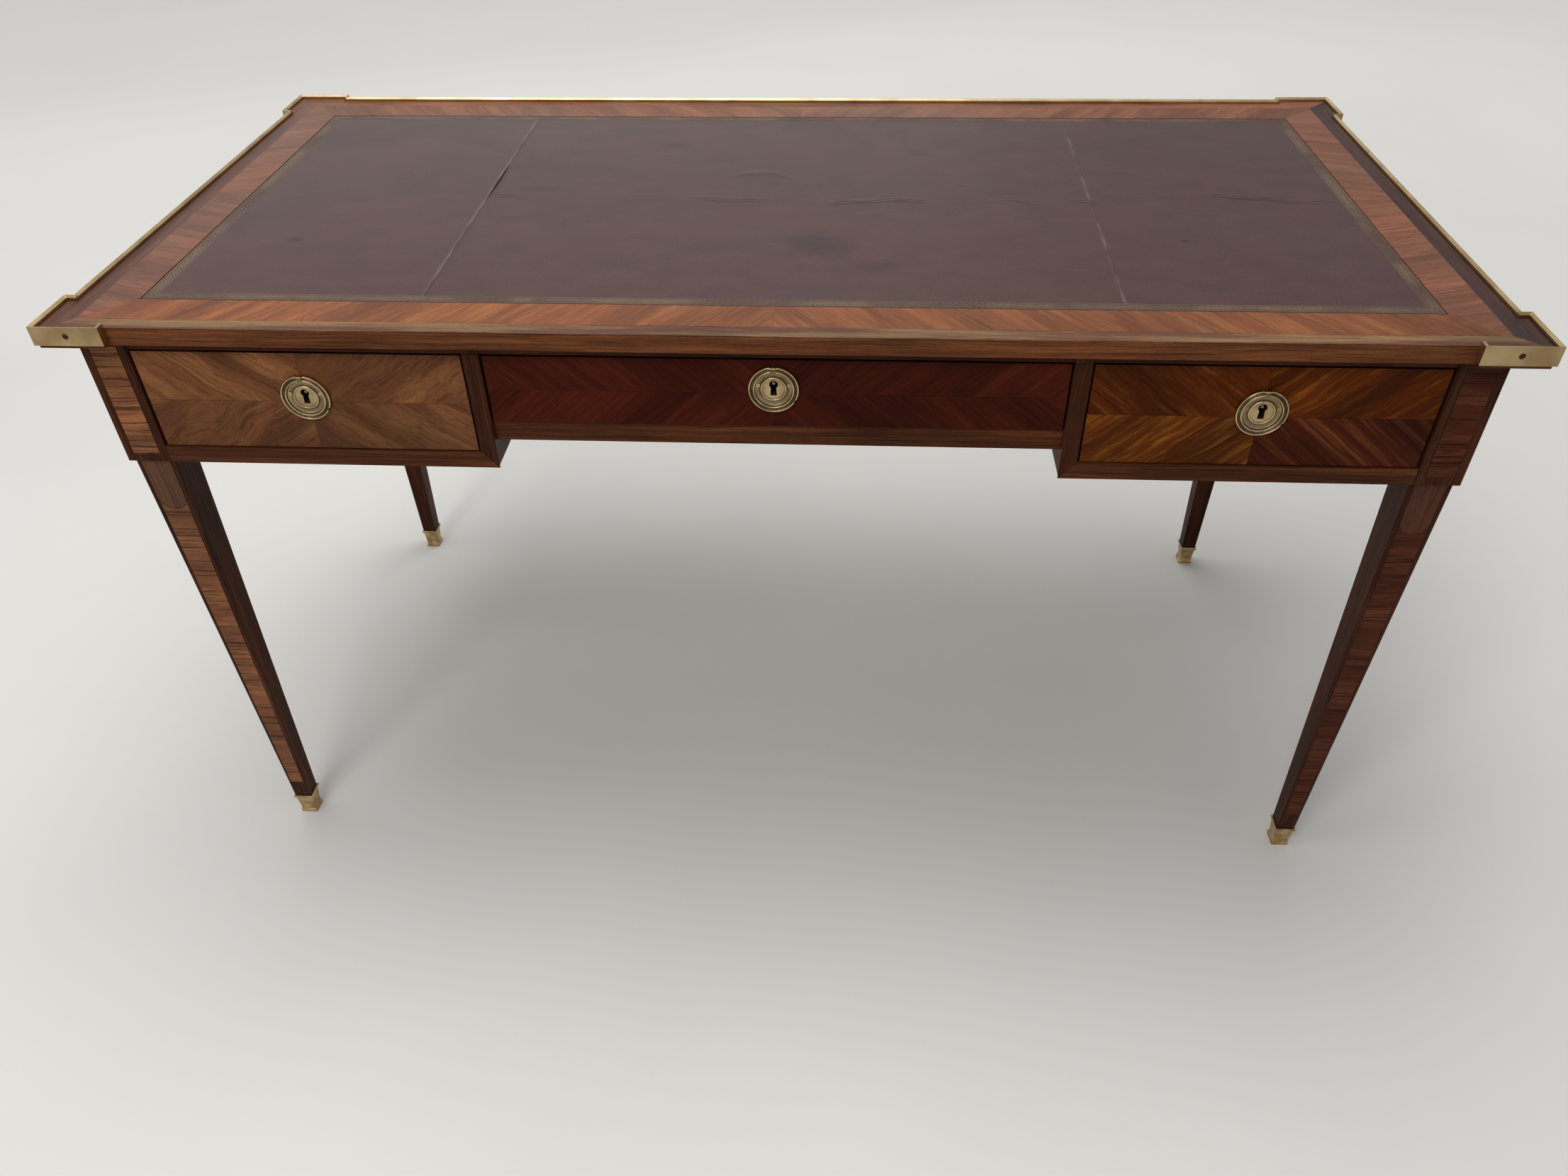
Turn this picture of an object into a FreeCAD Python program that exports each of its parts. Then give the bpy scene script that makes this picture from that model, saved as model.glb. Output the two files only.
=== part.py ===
import FreeCAD, Part
import math
import os

Vector = FreeCAD.Vector

# A flat writing desk. Sizes are millimetres, the floor is z = 0, the front faces -Y, and left is -X.

# Top
TOP_HEIGHT = 760.0  # floor to the veneer
TOP_WIDTH = 1434.0  # over the brass of the corner ears
TOP_DEPTH = 711.0  # over the brass of the corner ears
TOP_THICKNESS = 19.0  # board and veneer together
VENEER_THICKNESS = 1.2
LEATHER_THICKNESS = 1.0
BORDER_WIDTH = 62.0  # edge of the wood between the ears to the leather
CROSSBAND_WIDTH = 43.0  # inner strip of the border
EAR_LENGTH = 70.0
EAR_PROJECTION = 10.0

# Brass gallery round the top
BAND_THICKNESS = 3.0
BAND_HEIGHT = 20.0
BAND_LIP = 5.0  # above the veneer
BAND_EASE = 0.4
SIDE_SCREWS = 3
BACK_SCREWS = 5
GALLERY_SCREW_HEAD = 6.0  # diameter
GALLERY_SCREW_SHANK = 3.0  # diameter
GALLERY_SCREW_LENGTH = 18.0

# Carcass
OVERHANG = 25.0  # face of an ear to the face of the carcass
FRIEZE_HEIGHT = 145.0
APRON_THICKNESS = 20.0
APRON_RECESS = 1.0  # behind the face of the corner blocks
TENON_LENGTH = 22.0
TENON_THICKNESS = 8.0
TENON_SHOULDER = 18.0  # above and below an apron's tenon
CENTRE_WIDTH = 579.0  # kneehole, divider to divider
DIVIDER_THICKNESS = 17.0
DIVIDER_TONGUE = 8.0  # length and thickness of the tongue in the back apron
KNEE_EDGE_RADIUS = 4.0
KNEEHOLE_RISE = 31.0  # underside of the centre rail above the bottom of the frieze
TOP_RAIL_HEIGHT = 13.0
TOP_RAIL_DEPTH = 62.0
RAIL_DOVETAIL_LENGTH = 20.0
RAIL_DOVETAIL_ROOT = 16.0
RAIL_DOVETAIL_TIP = 22.0
RAIL_DEPTH = 60.0
SIDE_RAIL_HEIGHT = 19.0
CENTRE_RAIL_HEIGHT = 23.5
CENTRE_RAIL_SETBACK = 6.0
RAIL_SHOULDER = 5.0  # above and below a rail's tenon
RAIL_CHEEK = 10.0  # in front of and behind a rail's tenon
STUB_LENGTH = 7.0  # a rail's tenon in a divider

# Legs and their brass shoes
LEG_BLOCK = 47.0
LEG_INSET = 4.5  # face of the leg behind the face of its block
LEG_TOP = 43.0
LEG_FOOT = 22.0  # at the shoulder inside the shoe
LEG_TENON = 14.0
LEG_EASE = 0.8
SHOE_HEIGHT = 35.0
SHOE_SOCKET = 5.0  # depth of the full leg in the collar
SHOE_WALL = 1.7
SHOE_SOLE = 4.0
SHOE_COLLAR = 3.5
SHOE_FLARE = 2.0
SHOE_BODY_TOP = 22.0
SHOE_BODY_FOOT = 18.6
SHOE_BEAD = 2.0
SHOE_BEAD_WIDTH = 20.4
SHOE_GROOVE = 1.2
SHOE_GROOVE_WIDTH = 19.0
SHOE_SLAB = 5.0
SHOE_SLAB_WIDTH = 21.4
SHOE_EASE = 0.6

# Drawer support
RUNNER_WIDTH = 20.0
RUNNER_HEIGHT = 17.0
GUIDE_HEIGHT = 25.0
STOP_WIDTH = 30.0
STOP_DEPTH = 18.0
STOP_HEIGHT = 4.0
STOP_INSET = 50.0  # side of the opening to a stop
TOP_SCREW_HEAD = 8.0  # diameter
TOP_SCREW_SINK = 3.0  # height of the countersunk head
TOP_SCREW_SHANK = 4.0  # diameter
TOP_SCREW_BITE = 10.0  # into the top
TOP_SCREW_END = 90.0  # end of a kicker to its first and last screw

# Drawers
DRAWER_SETBACK = 2.0  # behind the face of the carcass
DRAWER_LENGTH = 548.0
DRAWER_GAP = 2.5  # at each side of a front
DRAWER_TOP_GAP = 2.0
DRAWER_FOOT_GAP = 1.0
RUNNER_CLEARANCE = 0.2
FRONT_THICKNESS = 20.0
FRONT_LAP = 6.0  # wood left in front of the dovetails
FRONT_EASE = 0.6
SIDE_THICKNESS = 10.0
SIDE_DROP = 8.0  # top of a side below the top of the front
BACK_THICKNESS = 10.0
BACK_DROP = 4.0
BOTTOM_THICKNESS = 6.0
BOTTOM_LIFT = 7.0  # underside of the bottom above the foot of the sides
GROOVE_DEPTH = 5.0
TAIL_PITCH = 28.0
TAIL_ROOT = 12.0
TAIL_TIP = 17.0

# Lock
LOCK_WIDTH = 54.0
LOCK_PLATE_WIDTH = 74.0
LOCK_DEPTH = 12.0
LOCK_BELOW = 18.0  # below the middle of the escutcheon
LOCK_WALL = 1.6
LOCK_CAP = 2.0
LOCK_SCREW_HEAD = 5.0  # diameter
LOCK_SCREW_SHANK = 2.4  # diameter
LOCK_SCREW_LENGTH = 9.0
LOCK_SCREW_EDGE = 5.0  # from the edges of the plate
BOLT_WIDTH = 26.0
BOLT_THICKNESS = 5.0
BOLT_THROW = 8.0
BOLT_ABOVE_KEY = 7.0
BOLT_CLEARANCE = 0.2
STRIKE_CLEARANCE = 1.0
KEY_RISE = 5.0  # turning point of the key above the middle of the escutcheon
KEY_PIN = 3.2  # diameter
KEY_PIN_SETBACK = 1.0  # behind the drawer's face
KEYHOLE_DIAMETER = 8.8
KEYHOLE_DROP = 7.0  # below the middle of the escutcheon
KEYHOLE_NECK = 5.5
KEYHOLE_FOOT = 6.4

# Escutcheon and drop ring, measured out from their centre and out from the drawer's face
PLATE_RISE = 6.0  # middle of the escutcheon above the middle of the drawer front
PLATE_BASE_RADIUS = 20.4
PLATE_BASE_HEIGHT = 0.8
DISH_RADIUS = 18.4
DISH_RIM_HEIGHT = 2.4
DISH_HEIGHT = 1.9
BOSS_RADIUS = 12.8
BOSS_WIDTH = 1.4
BOSS_HEIGHT = 3.0
PLATE_SCREW_SPREAD = 15.2
PLATE_SCREW_RISE = 4.0
PLATE_SCREW_HEAD = 4.0  # diameter
PLATE_SCREW_SHANK = 1.8  # diameter
PLATE_SCREW_SINK = 1.2  # height of the countersunk head
PLATE_SCREW_LENGTH = 9.0
LUG_WIDTH = 5.4
LUG_DEPTH = 0.8  # reach of the lug in from the rim of the dish
LUG_TOP = 25.0
LUG_HEIGHT = 5.2
RING_RADIUS = 25.0
RING_INNER_RADIUS = 18.9
RING_OUTER_BEAD = 1.4
RING_INNER_BEAD = 1.6
RING_BACK = 1.4
RING_OUTER_HEIGHT = 4.6
RING_INNER_HEIGHT = 4.2
RING_COVE_HEIGHT = 3.2
RING_SHOULDER = 0.7  # from the crest of a bead down to its edges
RING_GAP = 0.6  # each side of the lug
HINGE_RADIUS = 22.8  # ring's centre to its hinge
HINGE_HEIGHT = 3.0
HINGE_BAR = 2.4  # diameter
HINGE_CLEARANCE = 0.06
HINGE_BED = 1.0  # length of the bar inside the ring at each end
NICK_RADIUS = 3.5
NICK_DEPTH = 1.2
NICK_ANGLE = -30.0  # degrees from +X

# Screw slots
SLOT_WIDTH = 0.7
SLOT_DEPTH = 0.6

# Places that follow from the sizes
half_width = TOP_WIDTH / 2
half_depth = TOP_DEPTH / 2
top_under = TOP_HEIGHT - TOP_THICKNESS
core_top = TOP_HEIGHT - VENEER_THICKNESS
frieze_bottom = top_under - FRIEZE_HEIGHT
carcass_x = half_width - OVERHANG
carcass_y = half_depth - OVERHANG
block_x = carcass_x - LEG_BLOCK
block_y = carcass_y - LEG_BLOCK
apron_x = carcass_x - APRON_RECESS - APRON_THICKNESS
apron_y = carcass_y - APRON_RECESS - APRON_THICKNESS
leg_x = carcass_x - LEG_INSET - LEG_TOP / 2
leg_y = carcass_y - LEG_INSET - LEG_TOP / 2
leg_shoulder = SHOE_HEIGHT - SHOE_SOCKET
divider_in = CENTRE_WIDTH / 2
divider_out = divider_in + DIVIDER_THICKNESS
drawer_face = -carcass_y + DRAWER_SETBACK
front_back = drawer_face + FRONT_THICKNESS
side_rail_top = frieze_bottom + SIDE_RAIL_HEIGHT
centre_rail_under = frieze_bottom + KNEEHOLE_RISE
centre_rail_top = centre_rail_under + CENTRE_RAIL_HEIGHT
top_rail_under = top_under - TOP_RAIL_HEIGHT
rail_back = -carcass_y + RAIL_DEPTH
top_rail_back = drawer_face + TOP_RAIL_DEPTH
band_bottom = TOP_HEIGHT + BAND_LIP - BAND_HEIGHT
band_top = TOP_HEIGHT + BAND_LIP

# Outline of the wood. The brass lies against it everywhere but along the front between the ears.
ear_x = half_width - BAND_THICKNESS
ear_y = half_depth - BAND_THICKNESS
ear_end_x = half_width - EAR_LENGTH + BAND_THICKNESS
ear_end_y = half_depth - EAR_LENGTH + BAND_THICKNESS
side_x = half_width - EAR_PROJECTION - BAND_THICKNESS
back_y = half_depth - EAR_PROJECTION - BAND_THICKNESS
front_y = half_depth - EAR_PROJECTION


def block(x, y, z):
    """Box between the pairs x, y and z, each in either order."""
    low = Vector(min(x), min(y), min(z))
    high = Vector(max(x), max(y), max(z))
    size = high - low
    return Part.makeBox(size.x, size.y, size.z, low)


def prism(corners, run):
    """Solid with a flat outline through the corners, carried along run."""
    outline = Part.makePolygon(corners + corners[:1])
    return Part.Face(outline).extrude(run)


def plate(corners, low, high):
    """Level plate with a corner at each (x, y)."""
    return prism([Vector(x, y, low) for x, y in corners], Vector(0, 0, high - low))


def square(x, y, z, width):
    half = width / 2
    corners = [Vector(x - half, y - half, z), Vector(x + half, y - half, z)]
    corners += [Vector(x + half, y + half, z), Vector(x - half, y + half, z)]
    return Part.makePolygon(corners + corners[:1])


def stacked(x, y, levels):
    """Square column whose (height, width) pairs are joined by flat faces."""
    return Part.makeLoft([square(x, y, z, width) for z, width in levels], True, True)


def eased(shape, size, chosen):
    """Takes the sharpness off the edges that chosen(edge) picks."""
    return shape.makeChamfer(size, [edge for edge in shape.Edges if chosen(edge)])


def level_with(edge, axis, value):
    """True if both ends of the edge lie at the value on that axis."""
    return all(abs(getattr(vertex.Point, axis) - value) < 1e-6 for vertex in edge.Vertexes)


def screw(head_centre, inward, head, sink, shank, length):
    """Countersunk slotted wood screw, and the hole that it leaves."""
    cone = Part.makeCone(head / 2, shank / 2, sink)
    body = Part.makeCylinder(shank / 2, length - sink, Vector(0, 0, sink))
    hole = cone.fuse(body).removeSplitter()
    turn = FreeCAD.Rotation(Vector(0, 0, 1), inward)
    slot = block((-head, head), (-SLOT_WIDTH / 2, SLOT_WIDTH / 2), (0, SLOT_DEPTH))
    slotted = hole.cut(slot)
    for shape in (hole, slotted):
        shape.Placement = FreeCAD.Placement(head_centre, turn)
    return slotted, hole


def spread(low, high, count):
    """Places that divide a length evenly, with none at its ends."""
    return [low + (high - low) * (number + 1) / (count + 1) for number in range(count)]


def top_outline():
    """Corners of the wooden top, anticlockwise from the front left ear."""
    front = [(-ear_x, -ear_y), (-ear_end_x, -ear_y), (-ear_end_x, -front_y)]
    front += [(ear_end_x, -front_y), (ear_end_x, -ear_y), (ear_x, -ear_y)]
    right = [(ear_x, -ear_end_y), (side_x, -ear_end_y), (side_x, ear_end_y), (ear_x, ear_end_y)]
    back = [(ear_x, ear_y), (ear_end_x, ear_y), (ear_end_x, back_y)]
    back += [(-ear_end_x, back_y), (-ear_end_x, ear_y), (-ear_x, ear_y)]
    left = [(-x, -y) for x, y in right]
    return front + right + back + left


def mitred_strips(inner, outer, low, high):
    """Four strips between two rectangles (x, front, back), mitred at the corners."""
    x, front, back = inner
    far_x, far_front, far_back = outer
    strips = [[(-x, front), (x, front), (far_x, far_front), (-far_x, far_front)]]
    strips += [[(x, back), (-x, back), (-far_x, far_back), (far_x, far_back)]]
    for side in (-1, 1):
        strips += [[(side * x, front), (side * x, back), (side * far_x, far_back), (side * far_x, far_front)]]
    return [plate(corners, low, high) for corners in strips]


def gallery_corner(side, end):
    """Brass strip bent round an ear, and in again to the edge of the top at both its ends."""
    edge_y = front_y if end < 0 else back_y
    bends = [(half_width - EAR_LENGTH, edge_y), (half_width - EAR_LENGTH, half_depth)]
    bends += [(half_width, half_depth), (half_width, half_depth - EAR_LENGTH)]
    bends += [(side_x, half_depth - EAR_LENGTH), (side_x, ear_end_y), (ear_x, ear_end_y)]
    bends += [(ear_x, ear_y), (ear_end_x, ear_y), (ear_end_x, edge_y)]
    strip = plate([(side * x, end * y) for x, y in bends], band_bottom, band_top)
    return eased(strip, BAND_EASE, lambda edge: level_with(edge, "z", band_top))


def gallery_rail(x, y):
    strip = block(x, y, (band_bottom, band_top))
    return eased(strip, BAND_EASE, lambda edge: level_with(edge, "z", band_top))


def gallery_screw_places():
    """Head centre and inward direction of each screw in the gallery."""
    z = (band_bottom + band_top) / 2
    ear_mid_x = half_width - EAR_LENGTH / 2
    ear_mid_y = half_depth - EAR_LENGTH / 2
    places = []
    for side in (-1, 1):
        for end in (-1, 1):
            places.append((Vector(side * ear_mid_x, end * half_depth, z), Vector(0, -end, 0)))
            places.append((Vector(side * half_width, end * ear_mid_y, z), Vector(-side, 0, 0)))
        for y in spread(EAR_LENGTH - half_depth, half_depth - EAR_LENGTH, SIDE_SCREWS):
            places.append((Vector(side * (half_width - EAR_PROJECTION), y, z), Vector(-side, 0, 0)))
    for x in spread(EAR_LENGTH - half_width, half_width - EAR_LENGTH, BACK_SCREWS):
        places.append((Vector(x, half_depth - EAR_PROJECTION, z), Vector(0, -1, 0)))
    return places


def leg(side, end):
    """Corner block and tapered leg in one length of wood, with a tenon for its shoe."""
    x = side * leg_x
    y = end * leg_y
    outer_x = side * carcass_x
    outer_y = end * carcass_y
    corner = block((side * block_x, outer_x), (end * block_y, outer_y), (frieze_bottom, top_under))
    corner = eased(
        corner, LEG_EASE, lambda edge: level_with(edge, "x", outer_x) and level_with(edge, "y", outer_y)
    )
    taper = stacked(x, y, [(leg_shoulder, LEG_FOOT), (frieze_bottom, LEG_TOP)])
    taper = eased(taper, LEG_EASE, lambda edge: edge.BoundBox.ZLength > 1)
    tenon = stacked(x, y, [(SHOE_SOLE, LEG_TENON), (leg_shoulder, LEG_TENON)])
    return corner.fuse([taper, tenon]).removeSplitter()


def shoe(side, end, its_leg):
    """Cast brass shoe: slab, groove, bead, tapered body and flared collar."""
    taper = (LEG_TOP - LEG_FOOT) / (frieze_bottom - leg_shoulder)
    collar = LEG_FOOT + taper * SHOE_SOCKET + 2 * SHOE_WALL
    body_foot = SHOE_SLAB + SHOE_EASE + SHOE_GROOVE + SHOE_BEAD
    collar_foot = SHOE_HEIGHT - SHOE_COLLAR
    levels = [(0, SHOE_SLAB_WIDTH - 2 * SHOE_EASE), (SHOE_EASE, SHOE_SLAB_WIDTH)]
    levels += [(SHOE_SLAB, SHOE_SLAB_WIDTH), (SHOE_SLAB + SHOE_EASE, SHOE_GROOVE_WIDTH)]
    levels += [(SHOE_SLAB + SHOE_EASE + SHOE_GROOVE, SHOE_GROOVE_WIDTH)]
    levels += [(body_foot - SHOE_BEAD / 2, SHOE_BEAD_WIDTH), (body_foot, SHOE_BODY_FOOT)]
    levels += [(collar_foot - SHOE_FLARE, SHOE_BODY_TOP), (collar_foot, collar)]
    levels += [(SHOE_HEIGHT - SHOE_EASE, collar), (SHOE_HEIGHT, collar - SHOE_EASE)]
    return stacked(side * leg_x, end * leg_y, levels).cut(its_leg)


def side_apron(side):
    middle = side * (apron_x + APRON_THICKNESS / 2)
    cheek = TENON_THICKNESS / 2
    reach = block_y + TENON_LENGTH
    board = block(
        (side * apron_x, side * (apron_x + APRON_THICKNESS)),
        (-block_y, block_y),
        (frieze_bottom, top_under),
    )
    tenons = block(
        (middle - cheek, middle + cheek),
        (-reach, reach),
        (frieze_bottom + TENON_SHOULDER, top_under - TENON_SHOULDER),
    )
    return board.fuse(tenons).removeSplitter()


def back_apron():
    middle = apron_y + APRON_THICKNESS / 2
    cheek = TENON_THICKNESS / 2
    reach = block_x + TENON_LENGTH
    board = block((-block_x, block_x), (apron_y, apron_y + APRON_THICKNESS), (frieze_bottom, top_under))
    tenons = block(
        (-reach, reach),
        (middle - cheek, middle + cheek),
        (frieze_bottom + TENON_SHOULDER, top_under - TENON_SHOULDER),
    )
    arch = block((-divider_in, divider_in), (apron_y, carcass_y), (frieze_bottom, centre_rail_under))
    return board.fuse(tenons).removeSplitter().cut(arch)


def divider(side):
    middle = side * (divider_in + DIVIDER_THICKNESS / 2)
    half_tongue = DIVIDER_TONGUE / 2
    board = block((side * divider_in, side * divider_out), (-carcass_y, apron_y), (frieze_bottom, top_under))
    knee_edge = [
        edge
        for edge in board.Edges
        if level_with(edge, "x", side * divider_in) and level_with(edge, "z", frieze_bottom)
    ]
    board = board.makeFillet(KNEE_EDGE_RADIUS, knee_edge)
    tongue = block(
        (middle - half_tongue, middle + half_tongue),
        (apron_y, apron_y + DIVIDER_TONGUE),
        (frieze_bottom + TENON_SHOULDER, top_under - TENON_SHOULDER),
    )
    return board.fuse(tongue).removeSplitter()


def top_rail():
    """Front rail over the drawers, dovetailed into the tops of the two front legs."""
    y = -carcass_y + LEG_BLOCK / 2
    rail = block((-block_x, block_x), (drawer_face, top_rail_back), (top_rail_under, top_under))
    for side in (-1, 1):
        tip_x = side * (block_x + RAIL_DOVETAIL_LENGTH)
        root = [(side * block_x, y - RAIL_DOVETAIL_ROOT / 2), (side * block_x, y + RAIL_DOVETAIL_ROOT / 2)]
        tip = [(tip_x, y + RAIL_DOVETAIL_TIP / 2), (tip_x, y - RAIL_DOVETAIL_TIP / 2)]
        rail = rail.fuse(plate(root + tip, top_rail_under, top_under))
    return rail.removeSplitter()


def rail(x, front, heights, tenons):
    """Rail under a drawer, with a tenon of its own length at each end."""
    low, high = heights
    body = block(x, (front, rail_back), heights)
    tenon_x = (x[0] - tenons[0], x[1] + tenons[1])
    tenon_y = (-carcass_y + RAIL_CHEEK, -block_y - RAIL_CHEEK)
    tenon = block(tenon_x, tenon_y, (low + RAIL_SHOULDER, high - RAIL_SHOULDER))
    return body.fuse(tenon).removeSplitter()


def tails(x, low, high, root_y, tip_y):
    """Dovetails on the end of a drawer side, spread evenly between two heights."""
    count = max(1, round((high - low) / TAIL_PITCH))
    pitch = (high - low) / count
    shapes = []
    for number in range(count):
        z = low + pitch * (number + 0.5)
        corners = [Vector(x[0], root_y, z - TAIL_ROOT / 2), Vector(x[0], root_y, z + TAIL_ROOT / 2)]
        corners += [Vector(x[0], tip_y, z + TAIL_TIP / 2), Vector(x[0], tip_y, z - TAIL_TIP / 2)]
        shapes.append(prism(corners, Vector(x[1] - x[0], 0, 0)))
    return shapes


def turned(profile_edges, x, z):
    """Solid of revolution about the line through (x, z) square to the drawer's face."""
    face = Part.Face(Part.Wire(profile_edges))
    return face.revolve(Vector(x, drawer_face, z), Vector(0, 1, 0), 360)


def keyhole(x, z, near, far):
    """Round hole over a flared slot, from the depth near to the depth far."""
    run = Vector(0, far - near, 0)
    key_z = z + KEY_RISE
    foot_z = z - KEYHOLE_DROP
    hole = Part.makeCylinder(KEYHOLE_DIAMETER / 2, far - near, Vector(x, near, key_z), Vector(0, 1, 0))
    corners = [Vector(x - KEYHOLE_NECK / 2, near, key_z), Vector(x + KEYHOLE_NECK / 2, near, key_z)]
    corners += [Vector(x + KEYHOLE_FOOT / 2, near, foot_z), Vector(x - KEYHOLE_FOOT / 2, near, foot_z)]
    return hole.fuse(prism(corners, run)).removeSplitter()


def escutcheon(x, z):
    """Dished plate with a raised ring round the keyhole, and the lug that carries the drop ring."""
    profile = [(0, 0), (PLATE_BASE_RADIUS, 0), (PLATE_BASE_RADIUS, PLATE_BASE_HEIGHT)]
    profile += [(DISH_RADIUS, PLATE_BASE_HEIGHT), (DISH_RADIUS, DISH_RIM_HEIGHT), (BOSS_RADIUS, DISH_HEIGHT)]
    profile += [(BOSS_RADIUS, BOSS_HEIGHT), (BOSS_RADIUS - BOSS_WIDTH, BOSS_HEIGHT)]
    profile += [(BOSS_RADIUS - BOSS_WIDTH, DISH_HEIGHT), (0, DISH_HEIGHT)]
    points = [Vector(x + radius, drawer_face - height, z) for radius, height in profile]
    dish = turned(Part.makePolygon(points + points[:1]).Edges, x, z)
    lug = block(
        (x - LUG_WIDTH / 2, x + LUG_WIDTH / 2),
        (drawer_face, drawer_face - LUG_HEIGHT),
        (z + DISH_RADIUS - LUG_DEPTH, z + LUG_TOP),
    )
    bore = hinge_line(x, z, LUG_WIDTH, HINGE_BAR / 2 + HINGE_CLEARANCE)
    hole = keyhole(x, z, drawer_face - BOSS_HEIGHT, drawer_face)
    return dish.fuse(lug).removeSplitter().cut(bore).cut(hole)


def hinge_line(x, z, length, radius):
    """Cylinder along a drop ring's hinge."""
    start = Vector(x - length / 2, drawer_face - HINGE_HEIGHT, z + HINGE_RADIUS)
    return Part.makeCylinder(radius, length, start, Vector(1, 0, 0))


def drop_ring(x, z):
    """Ring moulded with two beads and a cove, open at the top where a bar runs through the lug."""

    def at(radius, height):
        return Vector(x + radius, drawer_face - height, z)

    outer_foot = RING_RADIUS - RING_OUTER_BEAD
    inner_foot = RING_INNER_RADIUS + RING_INNER_BEAD
    outer_side = RING_OUTER_HEIGHT - RING_SHOULDER
    inner_side = RING_INNER_HEIGHT - RING_SHOULDER
    outer_bead = Part.Arc(
        at(RING_RADIUS, outer_side),
        at((RING_RADIUS + outer_foot) / 2, RING_OUTER_HEIGHT),
        at(outer_foot, outer_side),
    )
    cove = Part.Arc(
        at(outer_foot, outer_side),
        at((outer_foot + inner_foot) / 2, RING_COVE_HEIGHT),
        at(inner_foot, inner_side),
    )
    inner_bead = Part.Arc(
        at(inner_foot, inner_side),
        at((inner_foot + RING_INNER_RADIUS) / 2, RING_INNER_HEIGHT),
        at(RING_INNER_RADIUS, inner_side),
    )
    back = Part.makePolygon(
        [at(RING_INNER_RADIUS, inner_side), at(RING_INNER_RADIUS, RING_BACK), at(RING_RADIUS, RING_BACK)]
        + [at(RING_RADIUS, outer_side)]
    )
    ring = turned([outer_bead.toShape(), cove.toShape(), inner_bead.toShape()] + back.Edges, x, z)
    gap = LUG_WIDTH + 2 * RING_GAP
    opening = block(
        (x - gap / 2, x + gap / 2),
        (drawer_face, drawer_face - RING_OUTER_HEIGHT),
        (z, z + RING_RADIUS),
    )
    angle = math.radians(NICK_ANGLE)
    nick_out = RING_RADIUS + NICK_RADIUS - NICK_DEPTH
    nick_centre = Vector(x + nick_out * math.cos(angle), drawer_face, z + nick_out * math.sin(angle))
    nick = Part.makeCylinder(NICK_RADIUS, RING_OUTER_HEIGHT, nick_centre, Vector(0, -1, 0))
    bar = hinge_line(x, z, gap + 2 * HINGE_BED, HINGE_BAR / 2)
    return ring.cut(opening).cut(nick).fuse(bar).removeSplitter()


def lock(x, z, head):
    """Lock case open towards the wood, on a plate let into the back of the front, with the key's pin."""
    foot = z - LOCK_BELOW
    half = LOCK_WIDTH / 2
    mouth = front_back - LOCK_DEPTH
    inner_wall = front_back - LOCK_WALL
    case = block((x - half, x + half), (mouth, front_back), (foot, head))
    inside = block(
        (x - half + LOCK_WALL, x + half - LOCK_WALL),
        (mouth, inner_wall),
        (foot + LOCK_WALL, head - LOCK_CAP),
    )
    half_plate = LOCK_PLATE_WIDTH / 2
    back_plate = block((x - half_plate, x + half_plate), (inner_wall, front_back), (foot, head))
    body = case.fuse(back_plate).removeSplitter()
    pin_start = Vector(x, drawer_face + KEY_PIN_SETBACK, z + KEY_RISE)
    pin = Part.makeCylinder(KEY_PIN / 2, inner_wall - pin_start.y, pin_start, Vector(0, 1, 0))
    slot = bolt_passage(x, (head - LOCK_CAP, head), BOLT_CLEARANCE)
    return body.cut(inside).cut(slot).fuse(pin).removeSplitter(), body


def bolt_passage(x, z, clearance):
    """Space of the lock bolt between two heights, widened all round by a clearance."""
    bolt_back = front_back - LOCK_WALL - BOLT_CLEARANCE
    return block(
        (x - BOLT_WIDTH / 2 - clearance, x + BOLT_WIDTH / 2 + clearance),
        (bolt_back - BOLT_THICKNESS - clearance, bolt_back + clearance),
        z,
    )


def lock_screw_places(x, z, head):
    across = LOCK_PLATE_WIDTH / 2 - LOCK_SCREW_EDGE
    heights = (z - LOCK_BELOW + LOCK_SCREW_EDGE, head - LOCK_SCREW_EDGE - LOCK_CAP)
    return [Vector(x + side * across, front_back, height) for side in (-1, 1) for height in heights]


def plate_screw_places(x, z):
    places = [(x + side * PLATE_SCREW_SPREAD, z + PLATE_SCREW_RISE) for side in (-1, 1)]
    return [Vector(across, drawer_face - DISH_HEIGHT, height) for across, height in places]


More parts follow.
